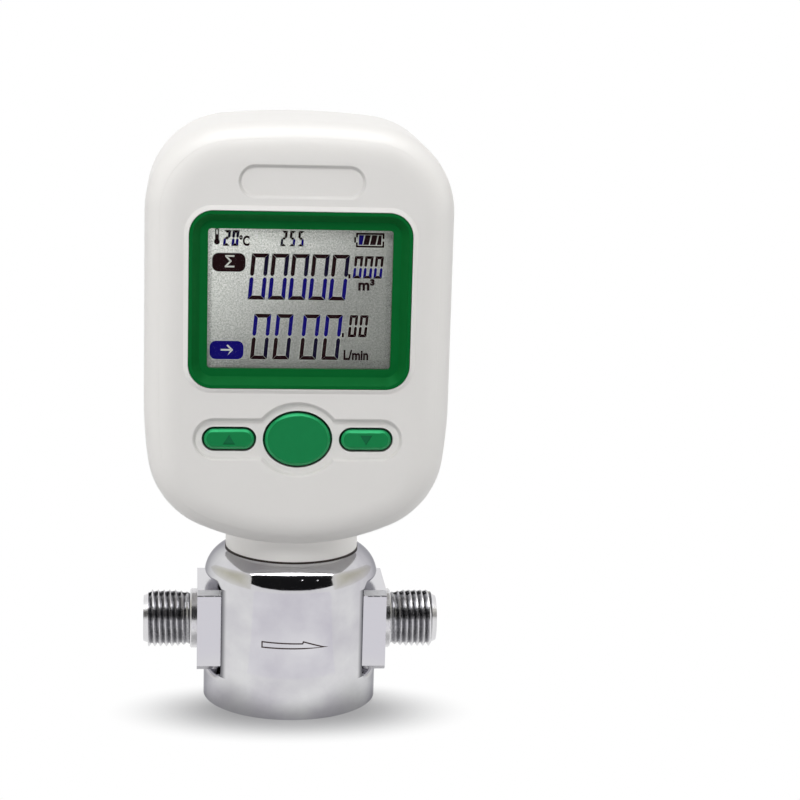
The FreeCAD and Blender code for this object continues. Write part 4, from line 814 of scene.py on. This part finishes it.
def mirrored(name, points, faces, colour, strength=1.0, edge=None):
    """Card that shows only in the gloss of the meter; its colour may fade to its edge."""
    material = bpy.data.materials.new(name)
    material.use_nodes = True
    nodes = Nodes(material.node_tree)
    nodes.tree.nodes.remove(nodes.tree.nodes["Principled BSDF"])
    piece = sheet(name, points, faces, material)
    if edge:
        rings = [i % CARD_RINGS / (CARD_RINGS - 1) for i in range(len(points))]
        shares = [ring ** FADE_POWER for ring in rings]
        piece.data.attributes.new("fade", "FLOAT", "POINT").data.foreach_set("value", shares)
        fade = nodes.node("ShaderNodeAttribute", {"attribute_name": "fade"}, output="Fac")
        colour = nodes.blend(fade, colour, edge)
    show(nodes, nodes.node("ShaderNodeEmission", sockets={"Color": colour, "Strength": strength}))
    piece.visible_camera = False
    piece.visible_diffuse = False
    piece.visible_shadow = False
    piece.visible_transmission = False


def card(name, outline, colour, strength=1.0, reach=1.6, edge=None):
    """Curved card, its outline at azimuths and elevations seen from the metal shoulder."""
    ring = []
    for turn, rise in outline:
        turn, rise = math.radians(turn), math.radians(rise)
        ring.append(Vector((
            math.sin(turn) * math.cos(rise), -math.cos(turn) * math.cos(rise), math.sin(rise)
        )))
    middle = sum(ring, Vector()).normalized()
    points = []
    for end in ring:
        for step in range(CARD_RINGS):
            way = middle.lerp(end, step / (CARD_RINGS - 1)).normalized()
            points.append(SHOULDER + reach * way)
    faces = []
    for i in range(len(ring)):
        for k in range(CARD_RINGS - 1):
            a = i * CARD_RINGS + k
            b = (i + 1) % len(ring) * CARD_RINGS + k
            faces.append((a, a + 1, b + 1, b))
    mirrored(name, points, faces, colour, strength, edge)


dark_top = [(-72, 43), (-64, 51.5), (-49, 59), (-25, 64.5), (3, 66.5), (27, 65), (47, 59.5),
            (62, 52), (72, 44)]
dark_foot = [(61, 33), (56, 14), (44, 11), (23, 9), (0, 9), (-17, 9), (-41, 11), (-58, 18),
             (-64, 34)]
card("card_dark", dark_top + dark_foot, tone(28, 28, 29))
strip_far = [(-87, 54), (-102, 61.5), (-133, 72), (173, 73), (131, 69), (105, 61), (89, 54)]
card("card_strip", dark_top[:1] + strip_far + dark_top[:0:-1], WHITE, 5.0, 1.65)
card("card_lens", [(turn, 83) for turn in range(0, 360, 30)], tone(40, 40, 42), 1.0, 1.5)
for turn, rise in ((16, 47), (35, 62), (41, 41)):
    spot = [(turn + 0.8 * math.cos(i * math.pi / 4), rise + 0.9 * math.sin(i * math.pi / 4))
            for i in range(8)]
    card("card_bulb", spot, WHITE, 6.0, 1.5)
cream = [(56, 1), (56, 14), (61, 33), (72, 44), (92, 42), (112, 30), (132, 14), (140, 1)]
for side, name in ((-1, "left"), (1, "right")):
    card("card_cream_" + name, [(side * turn, rise) for turn, rise in cream],
         tone(212, 210, 192), 1.0, 1.62, tone(240, 239, 235))
turns = [math.radians(turn) for turn in range(-48, 49, 8)]
near_edge = [Vector((FOOT_CARD_RADIUS * math.sin(turn), -FOOT_CARD_RADIUS * math.cos(turn), MM))
             for turn in turns]
mirrored("card_lilac", near_edge + [20 * corner for corner in reversed(near_edge)],
         [tuple(range(2 * len(near_edge)))], tone(250, 249, 253))


def lamp(name, spot, aim, power, size):
    """Square soft lamp that points at a place."""
    data = bpy.data.lights.new(name, "AREA")
    data.energy = power
    data.size = size
    piece = bpy.data.objects.new(name, data)
    bpy.context.scene.collection.objects.link(piece)
    piece.location = spot
    piece.rotation_euler = (Vector(aim) - Vector(spot)).to_track_quat("-Z", "Y").to_euler()
    piece.visible_glossy = False


lamp("lamp_key", (-0.2, -0.6, 0.85), (0, 0, 0.09), 4.7, 0.3)
lamp("lamp_low", (0, -0.9, 0.06), (0, 0, 0.05), 2.3, 0.5)
lamp("lamp_left", (-1.2, -0.05, 0.45), (0, 0, 0.08), 5.8, 0.8)
lamp("lamp_right", (1.2, -0.05, 0.45), (0, 0, 0.08), 6.8, 0.8)
lamp("lamp_top", (0, 0.1, 1.4), (0, 0, 0.08), 6.2, 1.0)
lamp("lamp_back", (0, 1.2, 0.5), (0, 0, 0.08), 4.0, 0.8)

world = bpy.data.worlds.new("white_room")
bpy.context.scene.world = world
world.use_nodes = True
room = Nodes(world.node_tree)
walls = room.tree.nodes["Background"]
plug(room.tree, walls.inputs["Color"], WHITE)
plug(room.tree, walls.inputs["Strength"], 0.03 + seen(room) * 0.97)

# Camera: 99 mm lens half a metre in front of the meter, a little to its left, looking
# down on it by twelve degrees.

YAW, PITCH_DOWN, ROLL = (math.radians(v) for v in (5.59, 12.14, 1.66))
CAMERA_SPOT = (-0.0238, -0.4921, 0.1765)
ahead = Vector((
    math.sin(YAW) * math.cos(PITCH_DOWN), math.cos(YAW) * math.cos(PITCH_DOWN),
    -math.sin(PITCH_DOWN)
))
across = Vector((math.cos(YAW), -math.sin(YAW), 0))
upward = across.cross(ahead)
right = across * math.cos(ROLL) + upward * math.sin(ROLL)
top = upward * math.cos(ROLL) - across * math.sin(ROLL)
lens = bpy.data.cameras.new("camera")
lens.lens = 99.0
lens.sensor_width = 36.0
lens.clip_start = 0.01
camera = bpy.data.objects.new("camera", lens)
bpy.context.scene.collection.objects.link(camera)
turned = Matrix((right, top, -ahead)).transposed().to_4x4()
camera.matrix_world = Matrix.Translation(CAMERA_SPOT) @ turned
bpy.context.scene.camera = camera
bpy.context.scene.view_settings.view_transform = "Standard"
